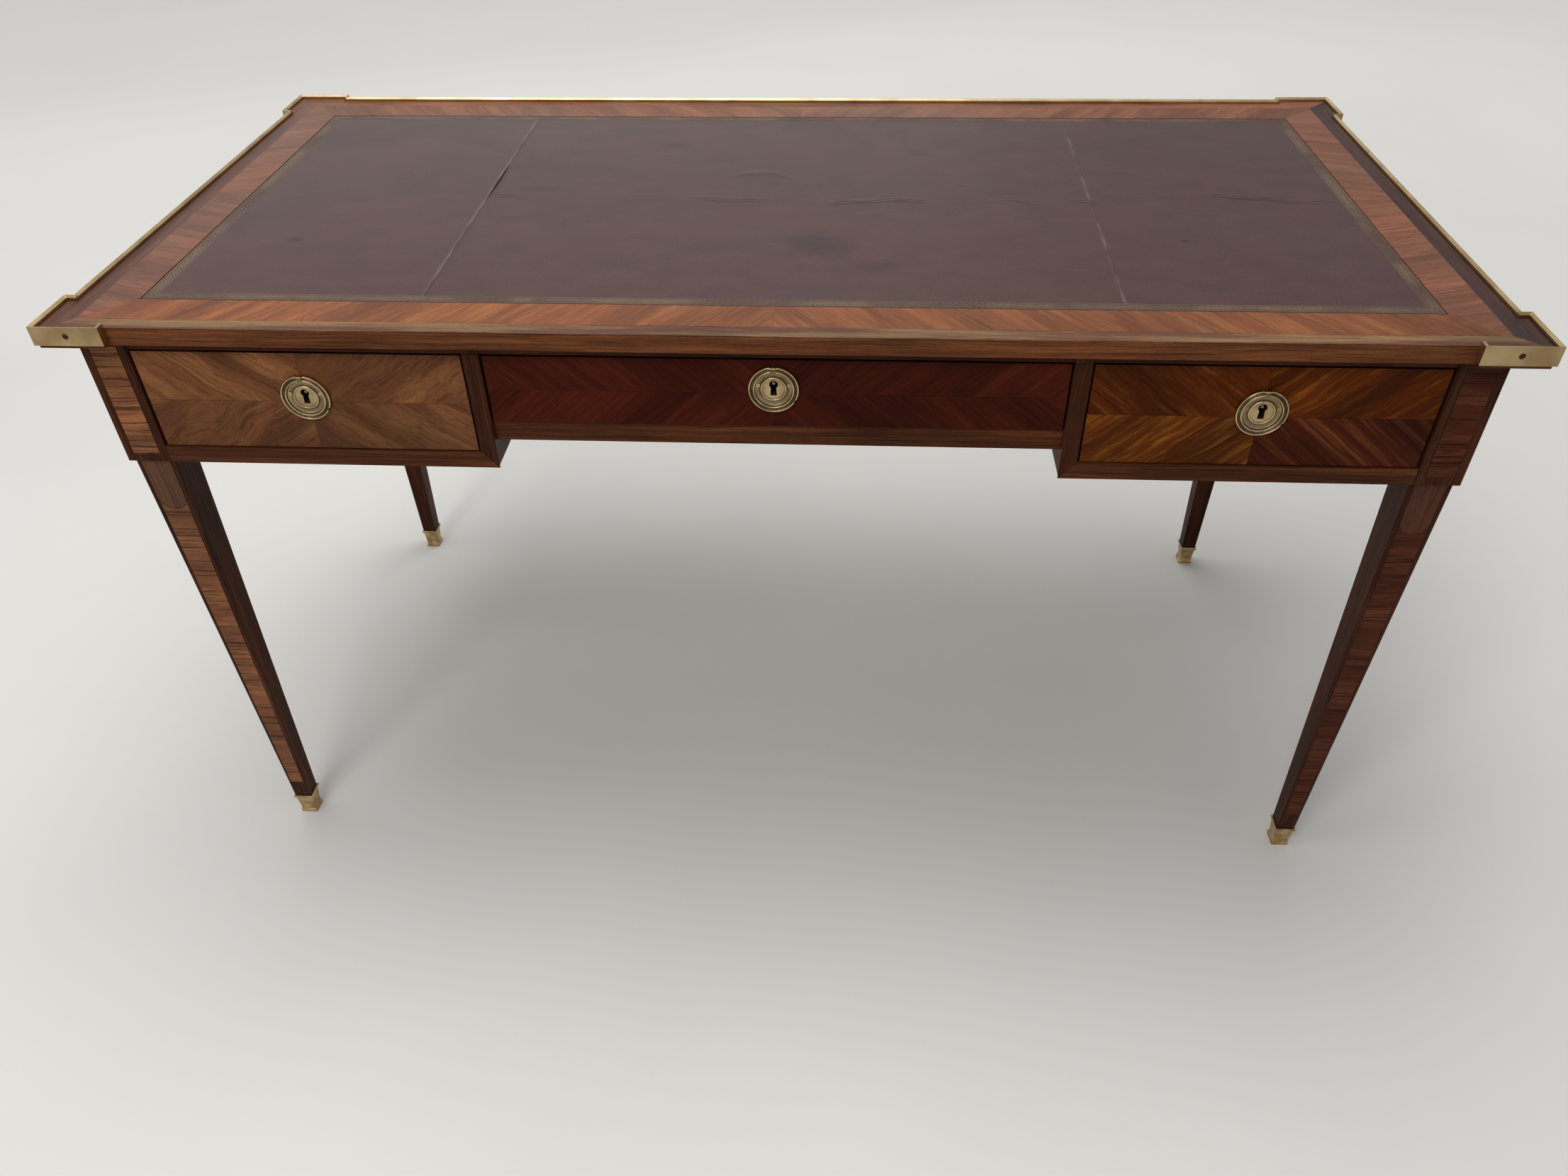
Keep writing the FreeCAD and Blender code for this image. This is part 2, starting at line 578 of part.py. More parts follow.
def drawer(x, rail_top):
    """Shapes of one drawer in the opening between the pair x, by the last part of their node's name."""
    left = x[0] + DRAWER_GAP
    right = x[1] - DRAWER_GAP
    middle = (left + right) / 2
    front_foot = rail_top + DRAWER_FOOT_GAP
    front_head = top_rail_under - DRAWER_TOP_GAP
    foot = rail_top + RUNNER_CLEARANCE
    side_head = front_head - SIDE_DROP
    back_head = side_head - BACK_DROP
    bottom_top = foot + BOTTOM_LIFT + BOTTOM_THICKNESS
    drawer_end = drawer_face + DRAWER_LENGTH
    back_face = drawer_end - BACK_THICKNESS
    key_height = (front_foot + front_head) / 2 + PLATE_RISE

    bottom = block(
        (left + SIDE_THICKNESS - GROOVE_DEPTH, right - SIDE_THICKNESS + GROOVE_DEPTH),
        (front_back - GROOVE_DEPTH, drawer_end),
        (foot + BOTTOM_LIFT, bottom_top),
    )
    sides = []
    for side_x_pair in ((left, left + SIDE_THICKNESS), (right - SIDE_THICKNESS, right)):
        board = block(side_x_pair, (front_back, back_face), (foot, side_head))
        under_back = block(side_x_pair, (back_face, drawer_end), (foot, bottom_top))
        front_tails = tails(side_x_pair, front_foot, side_head, front_back, drawer_face + FRONT_LAP)
        back_tails = tails(side_x_pair, bottom_top, back_head, back_face, drawer_end)
        sides.append(board.fuse([under_back] + front_tails + back_tails).removeSplitter().cut(bottom))
    back = block((left, right), (back_face, drawer_end), (bottom_top, back_head)).cut(sides)

    lock_case, lock_outside = lock(middle, key_height, front_head)
    bolt = bolt_passage(middle, (key_height + KEY_RISE + BOLT_ABOVE_KEY, front_head), 0)
    plate_shape = escutcheon(middle, key_height)
    front = block((left, right), (drawer_face, front_back), (front_foot, front_head))
    front = eased(front, FRONT_EASE, lambda edge: level_with(edge, "y", drawer_face))
    front = front.cut(sides + [bottom, lock_outside])
    front = front.cut(keyhole(middle, key_height, drawer_face, front_back - LOCK_DEPTH))
    screws = []
    for place in plate_screw_places(middle, key_height):
        solid, hole = screw(
            place, Vector(0, 1, 0), PLATE_SCREW_HEAD, PLATE_SCREW_SINK, PLATE_SCREW_SHANK, PLATE_SCREW_LENGTH
        )
        screws.append(solid)
        front = front.cut(hole)
        plate_shape = plate_shape.cut(hole_through(hole, place))
    for place in lock_screw_places(middle, key_height, front_head):
        solid, hole = screw(
            place, Vector(0, -1, 0), LOCK_SCREW_HEAD, LOCK_WALL, LOCK_SCREW_SHANK, LOCK_SCREW_LENGTH
        )
        screws.append(solid)
        front = front.cut(hole)
        lock_case = lock_case.cut(hole)
    return {
        "front": front,
        "sides": Part.makeCompound(sides),
        "back": back,
        "bottom": bottom,
        "escutcheon": plate_shape,
        "ring": drop_ring(middle, key_height),
        "lock": lock_case,
        "bolt": bolt,
        "screws": Part.makeCompound(screws),
    }


def hole_through(hole, head_centre):
    """A screw's hole, cleared in front of its head up to the rim of the dish."""
    depth = DISH_RIM_HEIGHT - DISH_HEIGHT
    clear = Part.makeCylinder(PLATE_SCREW_HEAD / 2, depth, head_centre, Vector(0, -1, 0))
    return hole.fuse(clear)


def main():
    os.makedirs("parts", exist_ok=True)
    nodes = {}
    sides = {"left": -1, "right": 1}
    ends = {"front": -1, "back": 1}

    # Top, its skins and its gallery
    leather = (side_x - BORDER_WIDTH, BORDER_WIDTH - front_y, back_y - BORDER_WIDTH)
    crossband = (
        leather[0] + CROSSBAND_WIDTH,
        leather[1] - CROSSBAND_WIDTH,
        leather[2] + CROSSBAND_WIDTH,
    )
    top_board = plate(top_outline(), top_under, core_top)
    leather_z = (core_top, core_top + LEATHER_THICKNESS)
    nodes["top_leather"] = block((-leather[0], leather[0]), leather[1:], leather_z)
    nodes["top_crossbanding"] = Part.makeCompound(mitred_strips(leather, crossband, core_top, TOP_HEIGHT))
    outline = plate(top_outline(), core_top, TOP_HEIGHT)
    edge_strips = mitred_strips(crossband, (ear_x, -ear_y, ear_y), core_top, TOP_HEIGHT)
    nodes["top_edge_banding"] = Part.makeCompound([outline.common(strip) for strip in edge_strips])

    gallery = {}
    for side_name, side in sides.items():
        for end_name, end in ends.items():
            gallery[f"gallery_corner_{end_name}_{side_name}"] = gallery_corner(side, end)
        rail_x = (side * side_x, side * (side_x + BAND_THICKNESS))
        rail_y = (EAR_LENGTH - half_depth, half_depth - EAR_LENGTH)
        gallery[f"gallery_rail_{side_name}"] = gallery_rail(rail_x, rail_y)
    gallery["gallery_rail_back"] = gallery_rail(
        (EAR_LENGTH - half_width, half_width - EAR_LENGTH), (back_y, back_y + BAND_THICKNESS)
    )
    gallery_screws = []
    for place, inward in gallery_screw_places():
        solid, hole = screw(
            place, inward, GALLERY_SCREW_HEAD, BAND_THICKNESS, GALLERY_SCREW_SHANK, GALLERY_SCREW_LENGTH
        )
        gallery_screws.append(solid)
        top_board = top_board.cut(hole)
        gallery = {name: strip.cut(hole) for name, strip in gallery.items()}
    nodes.update(gallery)
    nodes["gallery_screws"] = Part.makeCompound(gallery_screws)

    # Carcass
    aprons = {f"side_apron_{name}": side_apron(side) for name, side in sides.items()}
    dividers = {name: divider(side) for name, side in sides.items()}
    centre_rail = rail(
        (-divider_in, divider_in),
        -carcass_y + CENTRE_RAIL_SETBACK,
        (centre_rail_under, centre_rail_top),
        (STUB_LENGTH, STUB_LENGTH),
    )
    front_rail = top_rail()
    nodes["centre_rail"] = centre_rail
    bottom_rails = {}
    for name, side in sides.items():
        x = sorted((side * divider_out, side * block_x))
        tenons = (TENON_LENGTH, STUB_LENGTH) if side < 0 else (STUB_LENGTH, TENON_LENGTH)
        bottom_rails[name] = rail(x, -carcass_y, (frieze_bottom, side_rail_top), tenons)
        nodes[f"bottom_rail_{name}"] = bottom_rails[name]
        nodes[f"divider_{name}"] = dividers[name].cut([front_rail, centre_rail, bottom_rails[name]])
    nodes["back_apron"] = back_apron().cut(list(dividers.values()))
    nodes.update(aprons)
    joinery = list(aprons.values()) + [nodes["back_apron"], front_rail] + list(bottom_rails.values())
    legs = []
    for side_name, side in sides.items():
        for end_name, end in ends.items():
            post = leg(side, end)
            legs.append(post)
            nodes[f"shoe_{end_name}_{side_name}"] = shoe(side, end, post)
            nodes[f"leg_{end_name}_{side_name}"] = post.cut(joinery)

    # Drawers, with the strips that carry, guide, hold down and stop them
    openings = {
        "left": ((-block_x, -divider_out), side_rail_top),
        "centre": ((-divider_in, divider_in), centre_rail_top),
        "right": ((divider_out, block_x), side_rail_top),
    }
    carriers = []
    kickers = []
    stops = []
    top_screws = []
    for name, (x, rail_top) in openings.items():
        for outer, inner in ((x[0], x[0] + RUNNER_WIDTH), (x[1], x[1] - RUNNER_WIDTH)):
            at_apron = abs(abs(outer) - block_x) < abs(abs(outer) - divider_out) and name != "centre"
            wall = math.copysign(apron_x, outer) if at_apron else outer
            runner = block((wall, inner), (rail_back, apron_y), (rail_top - RUNNER_HEIGHT, rail_top))
            carriers.append(runner.cut(legs))
            if at_apron:
                guide = block((wall, outer), (-block_y, block_y), (rail_top, rail_top + GUIDE_HEIGHT))
                carriers.append(guide)
            kicker = block((wall, inner), (top_rail_back, apron_y), (top_rail_under, top_under)).cut(legs)
            for y in (top_rail_back + TOP_SCREW_END, apron_y - TOP_SCREW_END):
                solid, hole = screw(
                    Vector((outer + inner) / 2, y, top_rail_under),
                    Vector(0, 0, 1),
                    TOP_SCREW_HEAD,
                    TOP_SCREW_SINK,
                    TOP_SCREW_SHANK,
                    TOP_RAIL_HEIGHT + TOP_SCREW_BITE,
                )
                top_screws.append(solid)
                kicker = kicker.cut(hole)
                top_board = top_board.cut(hole)
            kickers.append(kicker)
        for stop_x in (x[0] + STOP_INSET, x[1] - STOP_INSET):
            stops.append(
                block(
                    (stop_x - STOP_WIDTH / 2, stop_x + STOP_WIDTH / 2),
                    (front_back, front_back + STOP_DEPTH),
                    (rail_top, rail_top + STOP_HEIGHT),
                )
            )
        for piece, shape in drawer(x, rail_top).items():
            nodes[f"drawer_{name}_{piece}"] = shape
        strike_top = top_rail_under - DRAWER_TOP_GAP + BOLT_THROW + STRIKE_CLEARANCE
        front_rail = front_rail.cut(
            bolt_passage((x[0] + x[1]) / 2, (top_rail_under, strike_top), STRIKE_CLEARANCE)
        )
    nodes["top_board"] = top_board
    nodes["top_rail"] = front_rail
    nodes["drawer_runners"] = Part.makeCompound(carriers)
    nodes["drawer_kickers"] = Part.makeCompound(kickers)
    nodes["drawer_stops"] = Part.makeCompound(stops)
    nodes["top_screws"] = Part.makeCompound(top_screws)

    for name, shape in nodes.items():
        shape.exportStep(f"parts/{name}.step")
    print(len(nodes), "nodes", "valid" if all(shape.isValid() for shape in nodes.values()) else "not valid")


main()
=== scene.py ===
"""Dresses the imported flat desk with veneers, leather, gilding and brass, and sets it on a studio stage."""

import math
from collections import namedtuple
from contextlib import contextmanager

import bpy
from bpy.props import FloatProperty, FloatVectorProperty, PointerProperty
from mathutils import Matrix, Vector


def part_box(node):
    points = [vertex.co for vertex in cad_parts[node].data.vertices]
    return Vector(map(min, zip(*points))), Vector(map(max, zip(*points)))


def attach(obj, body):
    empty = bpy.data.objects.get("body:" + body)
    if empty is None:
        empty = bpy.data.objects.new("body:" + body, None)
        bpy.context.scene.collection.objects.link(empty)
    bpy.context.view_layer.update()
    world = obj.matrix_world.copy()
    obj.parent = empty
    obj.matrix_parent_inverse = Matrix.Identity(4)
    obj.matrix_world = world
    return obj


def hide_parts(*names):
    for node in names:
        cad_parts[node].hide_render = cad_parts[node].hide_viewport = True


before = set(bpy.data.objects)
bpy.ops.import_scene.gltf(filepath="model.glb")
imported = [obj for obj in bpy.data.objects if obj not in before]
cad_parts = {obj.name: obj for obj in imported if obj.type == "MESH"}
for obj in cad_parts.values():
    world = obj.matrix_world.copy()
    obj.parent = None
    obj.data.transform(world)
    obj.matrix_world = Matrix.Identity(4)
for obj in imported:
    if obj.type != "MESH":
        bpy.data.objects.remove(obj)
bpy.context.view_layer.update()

bl_info = {
    "name": "Flat desk dressing",
    "version": (1, 0, 0),
    "blender": (4, 5, 0),
    "location": "3D View > Sidebar > Desk",
    "description": "Veneers, leather, gilding and brass for a flat desk, with a studio stage",
    "category": "Object",
}

MM = 0.001
# Points nearer than the first are merged, on turned pieces nearer than the second, and points that differ by
# less than the third are level
MERGE, MERGE_TURNED, LEVEL = 0.001 * MM, 0.02 * MM, 0.01 * MM
X, Y, Z = Vector((1, 0, 0)), Vector((0, 1, 0)), Vector((0, 0, 1))
SIDES = {"left": -1, "right": 1}
ENDS = {"front": -1, "back": 1}
DRAWERS = ("left", "centre", "right")


def linear(code):
    """An sRGB hex colour as linear red, green, blue and alpha."""
    values = [int(code[i : i + 2], 16) / 255 for i in (1, 3, 5)]
    return [v / 12.92 if v <= 0.04045 else ((v + 0.055) / 1.055) ** 2.4 for v in values] + [1.0]


def length(name, description, millimetres):
    """A length property whose default is given in millimetres."""
    return FloatProperty(
        name=name, description=description, default=millimetres * MM, min=0.0, unit="LENGTH", precision=5
    )


def colour(name, description, code):
    """A colour property whose default is an sRGB hex value."""
    return FloatVectorProperty(
        name=name, description=description, default=linear(code), size=4, subtype="COLOR", min=0.0, max=1.0
    )


class DeskSizes(bpy.types.PropertyGroup):
    """Sizes of what is laid on the frame."""

    arris: length("Arris", "Rounding of the worn edges of solid wood", 0.5)
    brass_arris: length("Brass arris", "Rounding of the worn edges of the gallery and shoes", 0.9)
    gallery_slope: length("Gallery slope", "Width of the slope on the gallery's upper inner edge", 2.2)
    veneer_arris: length("Veneer arris", "Rounding of a leaf's edges", 0.12)
    veneer_proud: length("Veneer proud", "How far a leaf of veneer stands off the wood it is glued to", 0.25)
    veneer_depth: length("Veneer depth", "How deep a leaf is let into that wood", 0.6)
    veneer_joint: length("Veneer joint", "Gap between two leaves of veneer", 0.3)
    key_clear: length("Keyhole clearance", "How far the leaves stop from the escutcheon's middle", 9)
    block_margin: length("Block margin", "Dark band round the panel of a leg's block", 9.5)
    leg_border: length("Leg border", "Band beside the panel of a leg", 5.5)
    tongue_length: length("Tongue", "Length of the plain tongue at the top of a leg", 66)
    leg_foot: length("Leg foot", "Height at which a leg's panel stops above the floor", 64)
    string: length("Stringing", "Width of the dark line round an inlaid panel", 0.8)
    apron_margin: length("Apron margin", "Dark band round the panels of the sides and back", 12)
    brass_gap: length("Brass gap", "Grimy gap between the outer banding and the gallery", 1.0)
    leather_gap: length("Leather gap", "Gap between the leather and its border", 0.9)
    leather_step: length("Leather step", "Spacing of the points that carry the leather's ripples", 5)
    tooling_margin: length("Tooling margin", "Bare leather outside the gilt roll", 1.4)
    tooling_width: length("Tooling width", "Width of the gilt roll", 12.5)
    tooling_pitch: length("Tooling pitch", "Spacing of the lobes of the gilt rope", 6.2)
    floor_reach: FloatProperty(name="Floor", description="Radius of the floor", default=30.0, unit="LENGTH")


# Finishes: name, what it is, its colour, and for a wood the colour of the streaks of its figure
COLOURS = {
    "crossband": ("Front crossbanding", "Tulipwood of the border along the front", "#734228", "#865530"),
    "crossband_red": ("Crossbanding", "Redder tulipwood along the sides and back", "#6d4330", "#7e523b"),
    "edge": ("Left banding", "Kingwood outside the border along the left", "#57362b", "#684335"),
    "dark_edge": ("Right banding", "Darker kingwood along the right", "#38231f", "#452d28"),
    "front_edge": ("Front banding", "Kingwood along the front, rubbed by arms", "#5f3c2a", "#7f6040"),
    "kingwood": ("Kingwood", "Rails, dividers, legs and frames", "#3e1f11", "#56301d"),
    "mahogany": ("Mahogany", "Edge of the top board", "#63371f", "#7a4a29"),
    "rail": ("Rails", "Mahogany of the rails under the drawers", "#4c2814", "#64391f"),
    "tawny": ("Left drawer", "Tulipwood of the left drawer", "#6c4025", "#835632"),
    "golden": ("Right drawer", "Tulipwood of the right drawer", "#562505", "#854a12"),
    "amber": ("Amber leaf", "The right drawer's palest leaf", "#612d0a", "#8a561b"),
    "red": ("Red leaf", "The right drawer's redder leaf", "#481b0b", "#6c381d"),
    "dark": ("Centre drawer", "Dark tulipwood of the middle drawer", "#42160b", "#4f2014"),
    "panel": ("Left panels", "Rosewood across the left legs and blocks", "#7a4a2f", "#93603d"),
    # The right-hand panels and tongues are redder, and darker as painted shade of the right side
    "panel_red": ("Right panels", "Redder rosewood across the right legs and blocks", "#4d2414", "#603421"),
    "tongue": ("Left tongues", "Plain wood at the top of the left legs", "#664230", "#764e38"),
    "tongue_red": ("Right tongues", "Plain wood at the top of the right legs", "#4a2a1c", "#563323"),
    "string": ("Stringing", "Blackened line round the panels", "#1d100b", "#2a1811"),
    "oak": ("Oak", "Drawer linings and runners", "#a07a4e", "#7d5b37"),
    "leather": ("Leather", "Aubergine ground of the leather", "#402e2c"),
    "leather_red": ("Leather red", "Redder patches of it", "#432a28"),
    # This dark colour is also the painted shade in the crack, the seams and beside the crease
    "leather_stain_and_shade": ("Leather dark", "Stains and creases", "#140e0e"),
    "leather_worn": ("Leather worn", "Scuffs and bared seams", "#7d6a61"),
    "leather_tooled": ("Tooled leather", "Leather that the hot roll has browned", "#44332b"),
    "gold": ("Gold leaf", "Gilding of the tooled roll", "#8b735b"),
    "brass": ("Brass", "Clean brass", "#dabf92"),
    "brass_brown": ("Tarnish", "Browned brass", "#8f7048"),
    # This dark colour is also painted shade in the turned brasses' hollows and gaps, and on the gallery
    # screws
    "brass_grime_and_shade": ("Grime", "Old polish and dirt in the hollows of the brass", "#2a1f12"),
    "steel": ("Steel", "Lock cases, bolts and screws", "#7a7873"),
    "steel_rust": ("Rust", "Browned steel", "#4c3a2e"),
    "floor": ("Floor", "Pale studio floor", "#dddcd7"),
}


def colour_properties():
    """The colour properties of the finishes, with one more for the streaks of each wood."""
    made = {}
    for name, (title, told, ground, *streaks) in COLOURS.items():
        made[name] = colour(title, told, ground)
        for code in streaks:
            made[f"{name}_streak"] = colour(f"{title} streaks", "Stripes of its figure", code)
    return made


class DeskColours(bpy.types.PropertyGroup):
    """Colours of the finishes. Each wood has its ground and the streaks of its figure."""

    __annotations__ = colour_properties()


def sizes():
    """The sizes as set in the scene."""
    return bpy.context.scene.desk_sizes


def tint(name):
    """One of the colours as set in the scene."""
    return getattr(bpy.context.scene.desk_colours, name)


# Materials

# A soft ramp, a mix of two colours by a share (inputs 6 and 7 by input 0), and one that multiplies them
SOFT = {"interpolation_type": "SMOOTHSTEP"}
BLEND = {"data_type": "RGBA", "out": 2}
SHADE = {**BLEND, "blend_type": "MULTIPLY"}
# Levels between which nearly all of a noise lies
NOISE = (0.3, 0.7)


def fill(node, links):
    """Fills the inputs of a node, in order or by name, with sockets or plain values."""
    for name, value in dict(links if isinstance(links, dict) else enumerate(links)).items():
        if isinstance(value, bpy.types.NodeSocket):
            node.id_data.links.new(value, node.inputs[name])
        else:
            node.inputs[name].default_value = value


def add(tree, kind, links=(), out=0, ramp=(), **settings):
    """Adds a node with its settings, inputs and ramp stops, and gives back one of its outputs."""
    node = tree.nodes.new("ShaderNode" + kind)
    for option, value in settings.items():
        setattr(node, option, value)
    fill(node, links)
    for i, (position, tone) in enumerate(ramp):
        stops = node.color_ramp.elements
        stop = stops[i] if i < len(stops) else stops.new(position)
        stop.position = position
        stop.color = (tone, tone, tone, 1.0)
    return node.outputs[out]


def new_material(name, **values):
    """A material with one Principled shader, whose constant values go on the shader's own sockets."""
    material = bpy.data.materials.new(name)
    material.use_nodes = True
    shader = material.node_tree.nodes["Principled BSDF"]
    fill(shader, {socket.replace("_", " "): value for socket, value in values.items()})
    return material, material.node_tree, shader


def grain_scale(along, long, wide):
    """Scale of a noise whose marks are long down the grain and wide across it, both in millimetres."""
    scale = [1 / (wide * MM)] * 3
    scale["XYZ".index(along)] = 1 / (long * MM)
    return scale


# A wood: its full name, length and width of its streaks in millimetres, the noise levels between which a
# streak comes in, how much its broad bands differ, how dark and how far apart its growth lines are, how far
# its grain wanders in millimetres, its roughness and its shine
Wood = namedtuple("Wood", "title figure share bands dark pitch wander rough shine")
WOODS = {
    "crossband": Wood("shellacked golden crossbanding", (110, 9), (0.38, 0.75), 0.25, 0.3, 2.6, 7, 0.4, 0.12),
    "crossband_red": Wood(
        "shellacked red crossbanding", (110, 9), (0.38, 0.75), 0.25, 0.3, 2.6, 7, 0.4, 0.14
    ),
    "edge": Wood("shellacked kingwood banding", (150, 6), (0.4, 0.7), 0.2, 0.3, 2.2, 4, 0.42, 0.16),
    "dark_edge": Wood("shellacked dark kingwood banding", (150, 6), (0.4, 0.7), 0.2, 0.3, 2.2, 4, 0.42, 0.16),
    "front_edge": Wood("rubbed kingwood banding", (220, 16), (0.45, 0.62), 0.2, 0.25, 2.2, 4, 0.46, 0.14),
    "kingwood": Wood("shellacked kingwood", (160, 5), (0.4, 0.72), 0.25, 0.4, 2.2, 5, 0.42, 0.06),
    "mahogany": Wood("shellacked mahogany", (140, 5), (0.4, 0.7), 0.25, 0.4, 2.2, 4, 0.42, 0.08),
    "rail": Wood("shellacked dark mahogany", (140, 5), (0.4, 0.7), 0.25, 0.4, 2.2, 4, 0.42, 0.07),
    "tawny": Wood("shellacked tawny tulipwood", (150, 24), (0.4, 0.74), 0.3, 0.36, 2.6, 26, 0.4, 0.1),
    "golden": Wood("shellacked golden tulipwood", (90, 8), (0.48, 0.8), 0.4, 0.34, 2.4, 16, 0.4, 0.05),
    "amber": Wood("shellacked amber tulipwood", (60, 7), (0.42, 0.75), 0.3, 0.38, 2.4, 12, 0.4, 0.05),
    "red": Wood("shellacked red tulipwood", (170, 6), (0.46, 0.72), 0.35, 0.34, 2.6, 6, 0.4, 0.05),
    "dark": Wood("shellacked dark tulipwood", (90, 4), (0.38, 0.8), 0.3, 0.22, 2.2, 6, 0.4, 0.04),
    "panel": Wood("shellacked cross-grain rosewood", (120, 20), (0.4, 0.65), 0.25, 0.68, 3.4, 5, 0.42, 0.12),
    # The right-hand copies are redder, and darker as painted shade of the right side
    "panel_red": Wood(
        "shellacked red cross-grain rosewood", (120, 16), (0.4, 0.65), 0.25, 0.68, 3, 5, 0.42, 0.06
    ),
    "tongue": Wood("shellacked plain rosewood", (140, 9), (0.35, 0.75), 0.25, 0.3, 2.2, 5, 0.42, 0.12),
    "tongue_red": Wood("shellacked red plain rosewood", (140, 9), (0.35, 0.75), 0.25, 0.3, 2.2, 5, 0.42, 0.1),
    "string": Wood("blackened stringing", (60, 2), (0.4, 0.7), 0.2, 0.3, 2.2, 1, 0.46, 0.12),
    "oak": Wood("planed oak", (160, 6), (0.4, 0.7), 0.2, 0.4, 2.2, 4, 0.62, 0.3),
}


def polished_wood(wood, along):
    """Veneer or solid wood under an old hand-rubbed polish, with its grain along an axis or its own UV map.

    The eye gets soft streaks, thin dark growth lines, fine fibres, short dark pores, and a satin shine that
    is duller where the polish has worn. The pores are drawn twice as coarse as they are, so that they show.
    """
    title, figure, share, bands, dark, pitch, wander, rough, shine = WOODS[wood]
    material, tree, shader = new_material(f"{title} along {along}", IOR=1.5, Specular_IOR_Level=shine)
    everywhere = add(tree, "TexCoord", out="Object")
    place = add(tree, "UVMap", uv_map="grain") if along == "UV" else everywhere
    sway = add(tree, "TexNoise", {"Vector": place, "Scale": 1 / (75 * MM), "Detail": 2.0}, out="Color")
    bent = add(tree, "VectorMath", (sway, [wander * MM] * 3, place), operation="MULTIPLY_ADD")
    marks = {}
    # Length and width of each kind of mark in millimetres, and the detail of its noise
    for name, (long, wide), detail in (
        ("streaks", figure, 5.0),
        ("bands", (320, 45), 2.0),
        ("lines", (170, pitch), 3.0),
        ("fibres", (45, 0.9), 3.0),
        ("pores", (7, 0.45), 1.0),
    ):
        scale = grain_scale("X" if along == "UV" else along, long, wide)
        scaled = add(tree, "Mapping", {"Vector": bent, "Scale": scale})
        noise = {"Vector": scaled, "Scale": 1.0, "Detail": detail, "Roughness": 0.6}
        marks[name] = add(tree, "TexNoise", noise)
    marks["patina"] = add(tree, "TexNoise", {"Vector": everywhere, "Scale": 1 / (140 * MM), "Detail": 3.0})

    streaked = add(tree, "MapRange", (marks["streaks"], *share, 0.0, 1.0), **SOFT)
    tone = add(tree, "Mix", {0: streaked, 6: tint(wood), 7: tint(wood + "_streak")}, **BLEND)
    for name, low, high, first, second in (
        ("bands", *NOISE, 1.0 - bands, 1.0 + bands),
        ("lines", 0.53, 0.62, 1.0, 1.0 - dark),
        ("fibres", *NOISE, 0.8, 1.16),
        ("pores", 0.6, 0.7, 1.0, 0.55),
        ("patina", *NOISE, 0.84, 1.12),
    ):
        shade = add(tree, "MapRange", (marks[name], low, high, first, second), **SOFT)
        tone = add(tree, "Mix", {0: 1.0, 6: tone, 7: shade}, **SHADE)
    relief = add(tree, "Math", (marks["fibres"], marks["pores"]), operation="SUBTRACT")
    worn = add(tree, "MapRange", (marks["patina"], *NOISE, rough - 0.05, rough + 0.1))
    bump = add(tree, "Bump", {"Height": relief, "Strength": 0.25, "Distance": 0.05 * MM})
    fill(shader, {"Base Color": tone, "Roughness": worn, "Normal": bump})
    return material


# Old stains of the leather in millimetres: place, half-widths, and how dark each is
STAINS = (
    ((40, -136), (48, 44), 0.5),
    ((98, -190), (32, 18), 0.4),
    ((-539, -135), (13, 9), 0.6),
    ((200, 36), (6, 3), 0.9),
    ((430, -118), (7, 4), 0.9),
    ((-300, 18), (38, 12), 0.45),
    ((-149, 169), (34, 14), 0.45),
)


